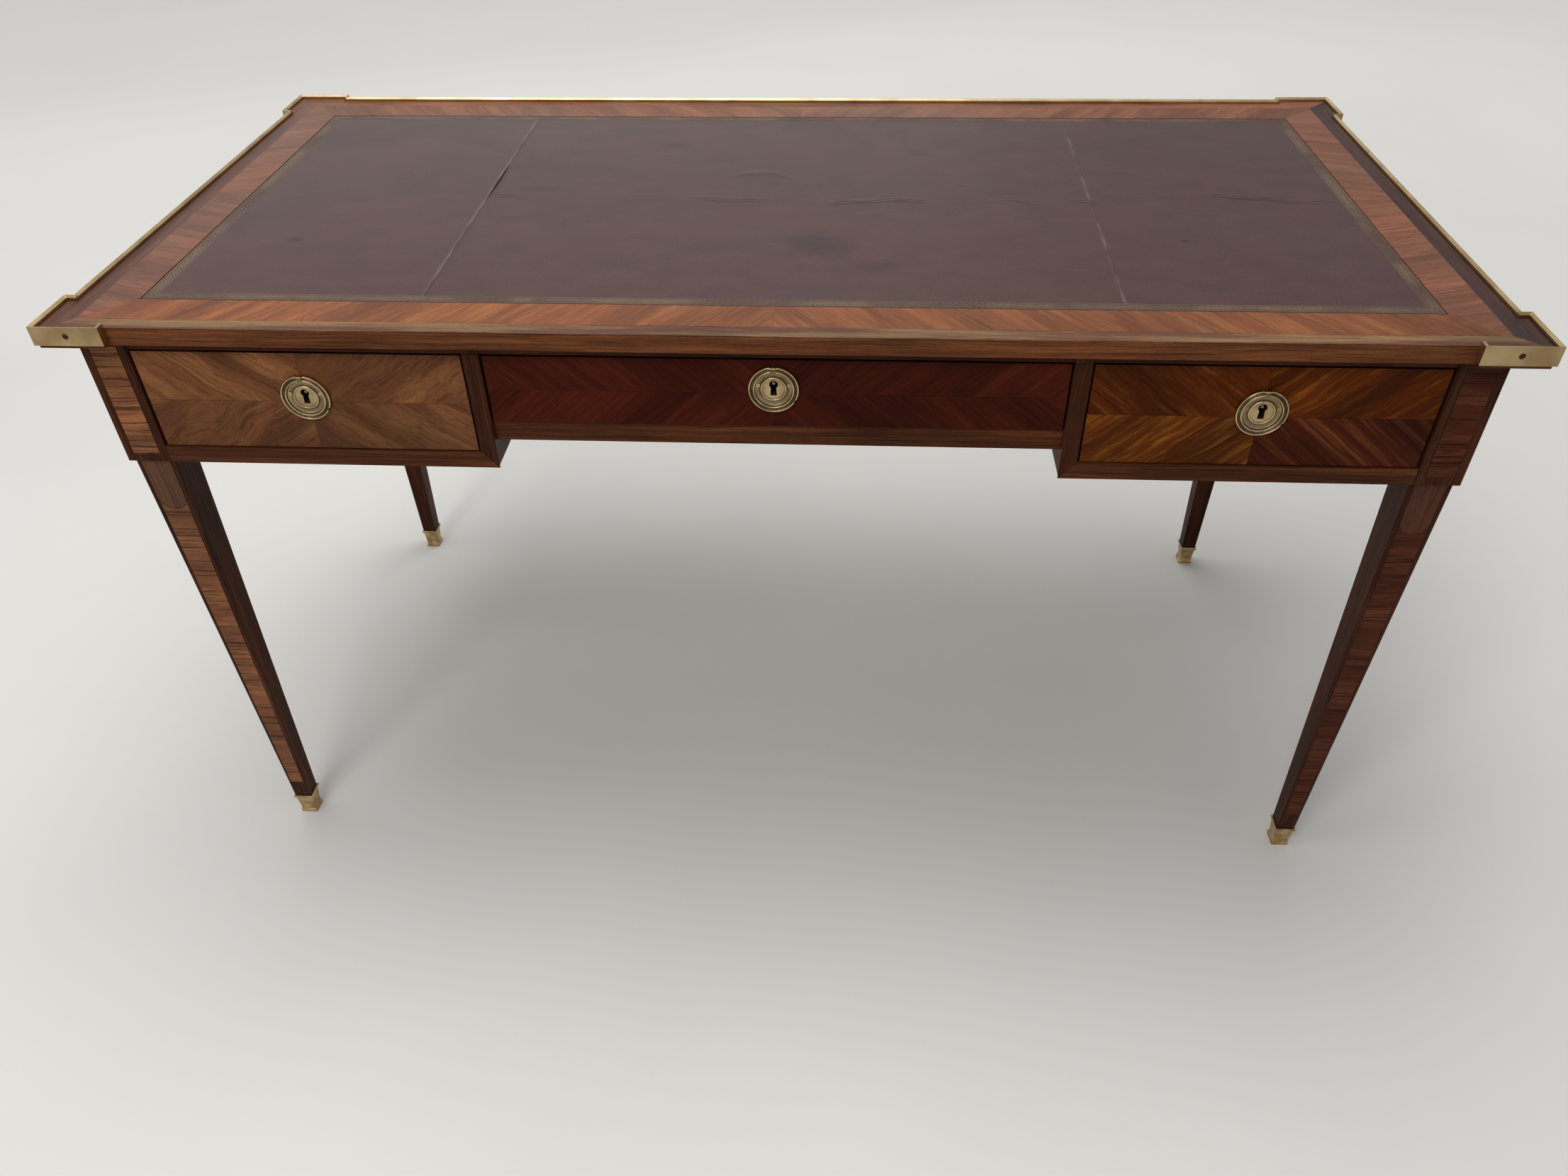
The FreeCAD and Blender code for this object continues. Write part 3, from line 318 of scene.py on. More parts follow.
def aged_leather():
    """Goatskin glued to the top, dyed aubergine, waxed and worn.

    The eye gets a fine pebble, cloudy dye that reddens in patches and towards the front (the greyer back is
    partly painted sheen), dark water stains, bared pale lines at the seams, and painted shade in a crack over
    a joint of the board, in a seam and beside a crease. The pebble is drawn a little coarse, so that it
    shows.
    """
    material, tree, shader = new_material("aged waxed goatskin", IOR=1.46, Specular_IOR_Level=0.25)
    place = add(tree, "TexCoord", out="Object")
    marks = {}
    # Size of each kind of mark in millimetres, its stretch, and the detail of its noise
    for name, size, stretch, detail in (
        ("clouds", 150, (0.7, 1.3, 1), 5.0),
        ("mottle", 34, (0.8, 1.2, 1), 5.0),
        ("speckle", 1.9, (1, 1, 1), 3.0),
        ("scuffs", 16, (0.22, 1.1, 1), 5.0),
        ("ragged", 26, (1, 1, 1), 5.0),
    ):
        scaled = add(tree, "Mapping", {"Vector": place, "Scale": [s / (size * MM) for s in stretch]})
        marks[name] = add(tree, "TexNoise", {"Vector": scaled, "Scale": 1.0, "Detail": detail})
    depth = add(tree, "SeparateXYZ", [place], out="Y")
    # Redder towards the front and greyer towards the back: partly dye, partly painted sheen at the back
    forward = add(tree, "Math", (depth, -0.6, marks["clouds"]), operation="MULTIPLY_ADD")
    reddened = add(tree, "MapRange", (forward, 0.3, 0.75, 0.0, 1.0), **SOFT)
    tone = add(tree, "Mix", {0: reddened, 6: tint("leather"), 7: tint("leather_red")}, **BLEND)
    for name, first, second in (("mottle", 0.91, 1.08), ("speckle", 0.8, 1.2)):
        shade = add(tree, "MapRange", (marks[name], *NOISE, first, second), **SOFT)
        tone = add(tree, "Mix", {0: 1.0, 6: tone, 7: shade}, **SHADE)
    for (x, y), (wide, deep), strength in STAINS:
        shape = {"Vector": place, "Location": (x * MM, y * MM, 0), "Scale": (wide * MM, deep * MM, 1e6)}
        centred = add(tree, "Mapping", shape, vector_type="TEXTURE")
        away = add(tree, "VectorMath", [centred], out=1, operation="LENGTH")
        ragged = add(tree, "Math", (marks["ragged"], 1.3, away), operation="MULTIPLY_ADD")
        stained = add(tree, "MapRange", (ragged, 1.75, 0.8, 0.0, strength), **SOFT)
        tone = add(tree, "Mix", {0: stained, 6: tone, 7: tint("leather_stain_and_shade")}, **BLEND)
    scuffed = add(tree, "MapRange", (marks["scuffs"], 0.68, 0.8, 0.0, 0.16), **SOFT)
    tone = add(tree, "Mix", {0: scuffed, 6: tone, 7: tint("leather_worn")}, **BLEND)
    # Rubbed pale places, then painted shade in the crack, the seams and beside the crease
    for name, shade in (("bare", "leather_worn"), ("split", "leather_stain_and_shade")):
        share = add(tree, "Attribute", out="Fac", attribute_name=name)
        tone = add(tree, "Mix", {0: share, 6: tone, 7: tint(shade)}, **BLEND)
    scaled = add(tree, "Mapping", {"Vector": place, "Scale": [1 / (1.3 * MM)] * 3})
    pebble = add(tree, "TexVoronoi", {"Vector": scaled, "Scale": 1.0}, out="Distance")
    relief = add(tree, "Math", (pebble, -0.5, marks["mottle"]), operation="MULTIPLY_ADD")
    rough = add(tree, "MapRange", (marks["clouds"], *NOISE, 0.46, 0.41))
    bump = add(tree, "Bump", {"Height": relief, "Strength": 0.3, "Distance": 0.14 * MM})
    fill(shader, {"Base Color": tone, "Roughness": rough, "Normal": bump})
    return material


def rubbed_gold(name, most):
    """Gold leaf pressed into the leather with a hot roll, dull and largely rubbed away.

    The eye gets a soft glint where the leaf is left and brown leather where it is gone.
    """
    material, tree, shader = new_material(name, Roughness=0.5, Specular_IOR_Level=0.2)
    place = add(tree, "TexCoord", out="Object")
    patches = add(tree, "TexNoise", {"Vector": place, "Scale": 1 / (60 * MM), "Detail": 6.0})
    left = add(tree, "MapRange", (patches, 0.35, 0.65, 0.25 * most, most), **SOFT)
    tone = add(tree, "Mix", {0: left, 6: tint("leather_tooled"), 7: tint("gold")}, **BLEND)
    fill(shader, {"Base Color": tone, "Metallic": add(tree, "Math", (left, 0.3), operation="MULTIPLY")})
    return material


# How dark the turned brasses are at each radius in millimetres, partly old polish and soil and partly painted
# shade: clean on the crests, dark in the hollows and gaps
GRIME_AND_SHADE = (
    (0, 0.2), (10.4, 0.25), (11.1, 0.6), (11.7, 0.0), (12.7, 0.0), (13.4, 0.9), (14.5, 0.65), (17.2, 0.45),
    (18.2, 0.4), (18.6, 1.0), (18.95, 0.9), (19.2, 0.0), (20.2, 0.0), (20.7, 0.9), (22.0, 0.75), (23.3, 0.9),
    (23.7, 0.0), (25.0, 0.0),
)
GRIME_AND_SHADE_REACH = 26.0


def old_brass(name, browning, patch, grime_and_shade_all_over=0.0, turned=False):
    """Cast, turned or drawn brass, once polished and left to brown between two shares.

    The eye gets a warm metal with brown clouds of some millimetres, and dark dull soiling that is also
    painted shade, in turned hollows or all over.
    """
    material, tree, shader = new_material(name, Metallic=1.0)
    place = add(tree, "TexCoord", out="Object")
    cloud = add(tree, "TexNoise", {"Vector": place, "Scale": 1 / (patch * MM), "Detail": 6.0})
    fine = add(tree, "TexNoise", {"Vector": place, "Scale": 1 / (2.2 * MM), "Detail": 3.0})
    browned = add(tree, "MapRange", (cloud, 0.35, 0.65, *browning), **SOFT)
    tone = add(tree, "Mix", {0: browned, 6: tint("brass"), 7: tint("brass_brown")}, **BLEND)
    rough = add(tree, "MapRange", (cloud, *NOISE, 0.38, 0.3))
    # Dark soiling that also stands for painted shade: all over at one share, or by radius in turned hollows
    dirty_and_shaded = grime_and_shade_all_over
    if turned:
        radius = add(tree, "SeparateXYZ", [add(tree, "UVMap", uv_map="turned")])
        reach = add(tree, "Math", (radius, GRIME_AND_SHADE_REACH * MM), operation="DIVIDE")
        dirt_and_shade = add(tree, "ValToRGB", [reach], ramp=[(r / GRIME_AND_SHADE_REACH, share) for r, share in GRIME_AND_SHADE])
        uneven = add(tree, "MapRange", (fine, *NOISE, 0.85, 1.08))
        dirty_and_shaded = add(tree, "Math", (dirt_and_shade, uneven), operation="MULTIPLY", use_clamp=True)
    tone = add(tree, "Mix", {0: dirty_and_shaded, 6: tone, 7: tint("brass_grime_and_shade")}, **BLEND)
    rough = add(tree, "Math", (dirty_and_shaded, 0.3, rough), operation="MULTIPLY_ADD")
    bump = add(tree, "Bump", {"Height": fine, "Strength": 0.08, "Distance": 0.05 * MM})
    fill(shader, {"Base Color": tone, "Roughness": rough, "Normal": bump})
    return material


def filed_steel():
    """Filed iron and steel of old locks and screws: grey, with brown rust in clouds."""
    material, tree, shader = new_material("filed lock steel", Metallic=0.9)
    place = add(tree, "TexCoord", out="Object")
    cloud = add(tree, "TexNoise", {"Vector": place, "Scale": 1 / (9 * MM), "Detail": 6.0})
    rusty = add(tree, "MapRange", (cloud, 0.45, 0.65, 0.0, 1.0))
    tone = add(tree, "Mix", {0: rusty, 6: tint("steel"), 7: tint("steel_rust")}, **BLEND)
    fill(shader, {"Base Color": tone, "Roughness": add(tree, "MapRange", (cloud, 0.4, 0.7, 0.34, 0.65))})
    return material


def painted_floor():
    """A plain pale studio floor, rolled with matt paint.

    The eye gets a faintly cloudy white without shine, kept as pale far off as it is round the desk.
    """
    material, tree, shader = new_material("matt painted floor", Roughness=0.75)
    place = add(tree, "TexCoord", out="Object")
    cloud = add(tree, "TexNoise", {"Vector": place, "Scale": 1.3, "Detail": 6.0})
    shade = add(tree, "MapRange", (cloud, *NOISE, 0.96, 1.03))
    tone = add(tree, "Mix", {0: 1.0, 6: tint("floor"), 7: shade}, **SHADE)
    away = add(tree, "VectorMath", [place], out="Value", operation="LENGTH")
    paler = add(tree, "MapRange", (away, 0.5, 4.0, 0.0, 0.34), **SOFT)
    seen = add(tree, "LightPath", out="Is Camera Ray")
    strength = add(tree, "Math", (paler, seen), operation="MULTIPLY")
    fill(shader, {"Base Color": tone, "Emission Color": linear("#fbfaf6"), "Emission Strength": strength})
    return material


FINISHES = {
    "cast brass": lambda: old_brass("browned cast brass", (0.8, 0.3), 12),
    "turned brass": lambda: old_brass("browned turned brass", (0.5, 0.0), 14, turned=True),
    "drawn brass": lambda: old_brass("browned drawn brass", (0.7, 0.25), 45),
    # Gallery screws dark all over: soiling, and painted shade of their countersunk holes
    "grimed brass": lambda: old_brass("grimed brass screws", (1.0, 0.7), 6, grime_and_shade_all_over=0.8),
    "steel": filed_steel,
    "leather": aged_leather,
    "gold": lambda: rubbed_gold("rubbed gold leaf", 0.7),
    "tooled ground": lambda: rubbed_gold("tooled goatskin", 0.12),
    "floor": painted_floor,
}
MADE = {}


def finish(name, along="UV"):
    """The material of a wood, with its grain that way, or of another finish, made on its first use."""
    if (name, along) not in MADE:
        MADE[name, along] = polished_wood(name, along) if name in WOODS else FINISHES[name]()
    return MADE[name, along]


# Modelling by hand

# Degrees: faces that meet flatter than the first are merged, edges sharper than the second are rounded, and
# faces that meet flatter than the third are shaded as one
FLAT, SHARP, SMOOTH = 1, 40, 35
# Sides of a rod, and steps round a turned piece and over a bead
ROD_SIDES, TURN_STEPS, BEAD_STEPS = 32, 96, 8
# How far along and across the grain, in metres, the next leaf is taken from the log
NEXT_LEAF = (0.37, 0.23)

Face = namedtuple("Face", "origin right up out")


def spot(face, u, v, w=0.0):
    """A point of a flat face: u to the right, v up, and w out of it."""
    return face.origin + face.right * u + face.up * v + face.out * w


def bell(far, half, power=2):
    """A bell over a distance: 1 in its middle, fading at its half-width, and flatter on top at power 4."""
    return math.exp(-((far / half) ** power))


def only(piece):
    """Makes the piece the one that the next operator acts on."""
    bpy.ops.object.select_all(action="DESELECT")
    piece.select_set(True)
    bpy.context.view_layer.objects.active = piece


@contextmanager
def editing(piece):
    """Edit mode, with the whole piece selected."""
    only(piece)
    bpy.ops.object.mode_set(mode="EDIT")
    bpy.ops.mesh.select_all(action="SELECT")
    yield
    bpy.ops.object.mode_set(mode="OBJECT")


def face_out():
    """Turns all faces of the piece in edit mode outwards."""
    bpy.ops.mesh.select_all(action="SELECT")
    bpy.ops.mesh.normals_make_consistent(inside=False)


def primitive(name, kind, stretch=None, turned=0.0, **settings):
    """A primitive of that kind, stretched and turned about Z if asked, with its place in its mesh."""
    bpy.ops.object.select_all(action="DESELECT")
    getattr(bpy.ops.mesh, f"primitive_{kind}_add")(**settings)
    piece = bpy.context.object
    piece.name = piece.data.name = name
    if stretch:
        piece.scale = stretch
        piece.rotation_euler.z = turned
    bpy.ops.object.transform_apply()
    return piece


def block(name, first, second):
    """A cube stretched between two opposite corners."""
    extent = [abs(b - a) for a, b in zip(first, second)]
    return primitive(name, "cube", size=1, location=(Vector(first) + Vector(second)) / 2, scale=extent)


def rod(name, start, stop, radius):
    """A cylinder between two points."""
    run = Vector(stop) - Vector(start)
    aim = {"location": Vector(start) + run / 2, "rotation": run.to_track_quat("Z", "Y").to_euler()}
    return primitive(name, "cylinder", vertices=ROD_SIDES, radius=radius, depth=run.length, **aim)


def prism(name, outline, rise):
    """A solid raised by a vector from a flat outline of points."""
    piece = primitive(name, "circle", vertices=len(outline), fill_type="NGON")
    for vertex, point in zip(piece.data.vertices, outline):
        vertex.co = point
    with editing(piece):
        bpy.ops.mesh.extrude_region_move(TRANSFORM_OT_translate={"value": rise})
        face_out()
    return piece


def cut(piece, point, away, keep=False):
    """Cuts the piece flat through a point, and takes off the side that away points to, or keeps both."""
    with editing(piece):
        bpy.ops.mesh.bisect(plane_co=point, plane_no=away, use_fill=not keep, clear_outer=not keep)


def modify(piece, kind, **settings):
    """Adds a modifier to the piece and applies it."""
    modifier = piece.modifiers.new(kind, kind)
    for option, value in settings.items():
        setattr(modifier, option, value)
    only(piece)
    bpy.ops.object.modifier_apply(modifier=modifier.name)


def bore(piece, cutter):
    """Cuts the shape of another piece out of this one, and throws that other piece away."""
    modify(piece, "BOOLEAN", operation="DIFFERENCE", object=cutter, solver="EXACT")
    bpy.data.objects.remove(cutter)


def ease(piece, width, segments=2):
    """Rounds the sharp edges of the piece."""
    sharp = {"limit_method": "ANGLE", "angle_limit": math.radians(SHARP)}
    modify(piece, "BEVEL", width=width, segments=segments, **sharp)


def join(name, pieces):
    """Joins loose pieces into one object of that name."""
    only(pieces[0])
    for piece in pieces:
        piece.select_set(True)
    bpy.ops.object.join()
    pieces[0].name = pieces[0].data.name = name
    return pieces[0]


def tidy(piece):
    """Merges doubled points and turns all faces outwards."""
    with editing(piece):
        bpy.ops.mesh.remove_doubles(threshold=MERGE)
        face_out()


def from_frame(node, name):
    """A copy of a CAD node's mesh, its triangles merged into whole faces."""
    piece = bpy.data.objects.new(name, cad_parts[node].data.copy())
    piece.data.name = name
    bpy.context.scene.collection.objects.link(piece)
    only(piece)
    bpy.ops.mesh.customdata_custom_splitnormals_clear()
    with editing(piece):
        bpy.ops.mesh.remove_doubles(threshold=MERGE)
        bpy.ops.mesh.dissolve_limited(angle_limit=math.radians(FLAT))
    return piece


def turn(name, axis, profile, start=0.0, sweep=360.0):
    """A solid turned about a line through a point of the drawer's face, square to it.

    The profile is a list of radii and heights off the face in millimetres. The sweep, in degrees, runs
    anticlockwise from the start, as seen from the front.
    """
    piece = primitive(name, "circle", vertices=len(profile), fill_type="NOTHING", location=axis)
    outward = Vector((math.cos(math.radians(start)), 0, math.sin(math.radians(start))))
    for vertex, (radius, height) in zip(piece.data.vertices, profile):
        vertex.co = axis + outward * radius * MM - Y * height * MM
    with editing(piece):
        bpy.ops.mesh.spin(steps=TURN_STEPS, angle=math.radians(sweep), center=axis, axis=Y)
        bpy.ops.mesh.select_all(action="SELECT")
        bpy.ops.mesh.remove_doubles(threshold=MERGE_TURNED)
        bpy.ops.mesh.fill_holes(sides=0)
        bpy.ops.mesh.normals_make_consistent(inside=False)
    return piece


def bead(middle, base, radius):
    """Half-round from the outer foot over the crest to the inner foot, as radii and heights."""
    angles = [math.pi * i / BEAD_STEPS for i in range(BEAD_STEPS + 1)]
    return [(middle + radius * math.cos(a), base + radius * math.sin(a)) for a in angles]


def lay(piece, name, origin, place_of):
    """Maps the piece in metres on a UV map, each point by its place from an origin."""
    mesh = piece.data
    layer = mesh.uv_layers.get(name) or mesh.uv_layers.new(name=name)
    for loop, place in zip(mesh.loops, layer.uv):
        place.vector = place_of(mesh.vertices[loop.vertex_index].co - origin)


def lay_grain(piece, face, angle, flip=(1, 1), shift=0.0):
    """Maps U along the grain and V across it, with the grain turned by angle, on the leaf of that number."""
    turned = math.radians(angle)
    right, up = face.right * flip[0], face.up * flip[1]
    along = right * math.cos(turned) + up * math.sin(turned)
    across = up * math.cos(turned) - right * math.sin(turned)
    first, second = (shift * step for step in NEXT_LEAF)
    lay(piece, "grain", face.origin, lambda point: (point.dot(along) + first, point.dot(across) + second))


def lay_round(piece, axis):
    """Maps U out from the line that the piece was turned about, and V off the drawer's face."""
    lay(piece, "turned", axis, lambda point: (math.hypot(point.x, point.z), -point.y))


def dress(piece, material):
    """Gives the piece its material, and smooth shading over rounded edges that leaves flat faces flat."""
    piece.data.materials.clear()
    piece.data.materials.append(material)
    only(piece)
    bpy.ops.object.shade_smooth_by_angle(angle=math.radians(SMOOTH))
    modify(piece, "WEIGHTED_NORMAL", keep_sharp=True)


def mount(piece, body, slot, *stands_for):
    """Makes the piece ride on a body, and hides the CAD nodes that it stands for. The slot is not used."""
    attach(piece, body)
    if stands_for:
        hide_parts(*stands_for)


def leaf(name, face, low, high, angle, material, flip=(1, 1), shift=0.0, cuts=(), proud=1.0):
    """A leaf of veneer on a flat face, between two corners of it, with its grain turned by angle."""
    size = sizes()
    piece = block(name, spot(face, *low, -size.veneer_depth), spot(face, *high, proud * size.veneer_proud))
    for point, away in cuts:
        cut(piece, spot(face, *point), face.right * away[0] + face.up * away[1])
    ease(piece, size.veneer_arris)
    lay_grain(piece, face, angle, flip, shift)
    dress(piece, material)
    return piece


def quarters(name, body, face, half, angle, woods, shift, key=0.0, rise=0.0):
    """Four leaves whose grain runs to the middle of a face, cut back round a keyhole a little above it."""
    gap = sizes().veneer_joint / 2
    for i, (across, up) in enumerate(((-1, 1), (1, 1), (-1, -1), (1, -1))):
        low = (across * gap, up * gap)
        high = (across * half[0], up * half[1])
        corner = (across * key / math.sqrt(2), rise + up * key / math.sqrt(2))
        cuts = [(corner, (-across, -up))] if key else []
        leaf_name = f"{name}_{'upper' if up > 0 else 'lower'}_{'left' if across < 0 else 'right'}"
        piece = leaf(leaf_name, face, low, high, angle, finish(woods[i]), (across, up), shift + i, cuts)
        mount(piece, body, "drawer_veneer")


def plate_axis(drawer):
    """The point of a drawer's face that lies behind the middle of its escutcheon."""
    low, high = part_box(f"drawer_{drawer}_escutcheon")
    radius = (high.x - low.x) / 2
    return Vector((low.x + radius, high.y, low.z + radius))


# The pieces


class DESK_OT_frame_finishes(bpy.types.Operator):
    """Gives the nodes that keep their CAD mesh the finish of their own wood or metal"""

    bl_idname = "desk.frame_finishes"
    bl_label = "Finish the frame"

    # Beginning or end of a node's name, its finish and the way its grain runs
    rules = (
        ("top_screws", "steel", ""),
        ("top_rail", "kingwood", "X"),
        ("gallery_screws", "grimed brass", ""),
        ("drawer_runners", "oak", "Y"),
        ("drawer_kickers", "oak", "Y"),
        ("drawer_stops", "oak", "X"),
        ("_front", "kingwood", "X"),
        ("_sides", "oak", "Y"),
        ("_back", "oak", "X"),
        ("_bottom", "oak", "X"),
        ("_screws", "drawn brass", ""),
        ("_lock", "steel", ""),
        ("_bolt", "steel", ""),
    )

    def execute(self, context):
        for name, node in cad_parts.items():
            for part, material, along in self.rules:
                if name.startswith(part) or (part.startswith("_") and name.endswith(part)):
                    for holder in node.material_slots:
                        holder.material = finish(material, along)
                    break
        return {"FINISHED"}


class DESK_OT_eased_frame(bpy.types.Operator):
    """Rounds the worn edges of the legs, rails, aprons, top board and brass of the frame"""

    bl_idname = "desk.eased_frame"
    bl_label = "Ease the frame"

    # Beginning of a node's name, its finish, the way its grain runs, and its slot
    rules = (
        ("top_board", "mahogany", "X", "dark_veneer"),
        ("leg_", "kingwood", "Z", "dark_veneer"),
        ("divider_", "kingwood", "Z", "dark_veneer"),
        ("bottom_rail_", "rail", "X", "dark_veneer"),
        ("centre_rail", "rail", "X", "dark_veneer"),
        ("back_apron", "kingwood", "X", "dark_veneer"),
        ("side_apron_", "kingwood", "Y", "dark_veneer"),
        ("gallery_corner_", "drawn brass", "", "brass"),
        ("gallery_rail_", "drawn brass", "", "brass"),
        ("shoe_", "cast brass", "", "brass"),
    )
    # In millimetres: the gallery's chamfer as the frame has it, and how far inside the gallery the board is
    # looked for. In square millimetres: the least area of a chamfer that runs along the gallery. Then the
    # upward part of its normal, at least and at most
    chamfer = 0.4
    look_in = 4
    least_chamfer = 4
    steepness = (0.5, 0.9)

    def execute(self, context):
        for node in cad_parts:
            for part, material, along, slot in self.rules:
                if node.startswith(part):
                    piece = from_frame(node, f"{node}_eased")
                    if node.startswith("gallery"):
                        self.slope(piece)
                    ease(piece, sizes().brass_arris if slot == "brass" else sizes().arris, segments=3)
                    dress(piece, finish(material, along))
                    mount(piece, "desk", slot, node)
        return {"FINISHED"}

    def slope(self, piece):
        """Widens the chamfers of a strip of the gallery that face up and in over the board."""
        mesh = piece.data
        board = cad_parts["top_board"]
        wider = sizes().gallery_slope - self.chamfer * MM
        top = max(vertex.co.z for vertex in mesh.vertices)
        ways = {}
        for face in mesh.polygons:
            inward = Vector((face.normal.x, face.normal.y, 0)).normalized()
            slanting = self.steepness[0] < face.normal.z < self.steepness[1]
            sloping = slanting and face.area > self.least_chamfer * MM**2
            if sloping and board.ray_cast(face.center + inward * self.look_in * MM, -Z)[0]:
                for i in face.vertices:
                    ways.setdefault(i, []).append(inward)
        for i, inwards in ways.items():
            point = mesh.vertices[i].co
            if point.z > top - LEVEL:
                point -= sum(inwards, Vector()) * wider
            else:
                point.z -= wider


class DESK_OT_borders(bpy.types.Operator):
    """Lays the diagonal crossbanding round the leather, and the outer banding out to the edge"""

    bl_idname = "desk.borders"
    bl_label = "Lay the top's borders"

    # Slope of the grain in the strips along the front and back, and in those along the sides
    long_slope = 125
    side_slope = 18
    # Which way is out of the top from each strip, and which way the strip runs
    strips = {
        "front": ((0, -1), (1, 0)),
        "back": ((0, 1), (1, 0)),
        "left": ((-1, 0), (0, 1)),
        "right": ((1, 0), (0, 1)),
    }
    # The strip whose joint has opened, how many times tighter the others are, and how many times rounder the
    # outer strips are worn
    open_strip, tighter, rounder = "right", 6, 3
    edge_woods = {"front": "front_edge", "back": "crossband_red", "left": "edge", "right": "dark_edge"}

    def execute(self, context):
        self.crossbanding()
        self.edge_banding()
        return {"FINISHED"}

    def crossbanding(self):
        """Four mitred strips of two leaves each."""
        size = sizes()
        low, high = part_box("top_crossbanding")
        inner_low, inner_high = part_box("top_leather")
        middle = (low + high) / 2
        face = Face(Vector((middle.x, middle.y, high.z)), X, Y, Z)
        outer = (high - low) / 2
        inner = (inner_high - inner_low) / 2
        thick = high.z - low.z
        for i, (name, (out, run)) in enumerate(self.strips.items()):
            wide, deep = (outer.x, outer.y) if run[0] else (outer.y, outer.x)
            shore = inner.y if run[0] else inner.x
            slope = self.long_slope if run[0] else self.side_slope
            joint = size.veneer_joint if name == self.open_strip else size.veneer_joint / self.tighter
            leaves = []
            for end in (-1, 1):
                near = [r * end * joint + o * shore for r, o in zip(run, out)]
                far = [r * end * wide + o * deep for r, o in zip(run, out)]
                piece = block(f"crossband_{name}_{end}", spot(face, *near, -thick), spot(face, *far))
                away = [end * r - o for r, o in zip(run, out)]
                cut(piece, spot(face, *far), face.right * away[0] + face.up * away[1])
                ease(piece, size.veneer_arris)
                flip = (end, -out[1]) if run[0] else (-out[0], end)
                lay_grain(piece, face, slope, flip, shift=2 * i + end)
                leaves.append(piece)
            strip = join(f"crossband_{name}", leaves)
            dress(strip, finish("crossband" if name == "front" else "crossband_red"))
            mount(strip, "desk", "crossband_veneer", "top_crossbanding")

    def edge_banding(self):
        """Four strips that follow the steps of the corners, clear of the gallery."""
        low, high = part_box("top_edge_banding")
        inner_low, inner_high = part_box("top_crossbanding")
        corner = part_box("gallery_corner_back_right")[0]
        back_low, back_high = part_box("gallery_rail_back")
        gap = sizes().brass_gap
        high = high - Vector((gap, gap, 0))
        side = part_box("gallery_rail_right")[0].x - gap
        ear_end = [start + back_high.y - back_low.y + gap for start in (corner.x, corner.y)]
        face = Face(Vector((0, 0, high.z)), X, Y, Z)
        outlines = {}
        for name, way, inner, edge in (
            ("front", -1, inner_low.y, back_high.y),
            ("back", 1, inner_high.y, back_low.y - gap),
        ):
            half = [(inner_high.x, inner), (high.x, way * high.y)]
            half += [(ear_end[0], way * high.y), (ear_end[0], way * edge)]
            outlines[name] = half + [(-x, y) for x, y in half[::-1]]
        for name, sign in SIDES.items():
            step = [(high.x, ear_end[1]), (side, ear_end[1])]
            half = [(inner_high.x, inner_high.y), (high.x, high.y), *step]
            other = [(x, -y) for x, y in step[::-1]] + [(high.x, -high.y), (inner_high.x, inner_low.y)]
            outlines[name] = [(sign * x, y) for x, y in half + other]
        for i, (name, outline) in enumerate(outlines.items()):
            strip = prism(f"edgeband_{name}", [(x, y, low.z) for x, y in outline], (0, 0, high.z - low.z))
            ease(strip, self.rounder * sizes().veneer_arris, segments=3)
            lay_grain(strip, face, 0 if name in ENDS else 90, shift=i)
            dress(strip, finish(self.edge_woods[name]))
            mount(strip, "desk", "dark_veneer", "top_edge_banding")


# A seam of the leather in millimetres: its place, its lean to the right over a millimetre of depth, its gap,
# how far it is parted and where, and how pale its rubbed lips are
Seam = namedtuple("Seam", "place lean gap parted most pale")
# A mark along a seam, the crack or the crease: its strength, how far beside it lies and its half-width
Mark = namedtuple("Mark", "strength beside half")


def mark_at(mark, far):
    """How strong a mark is at a distance from what it lies along."""
    return mark.strength * bell(far - mark.beside, mark.half)


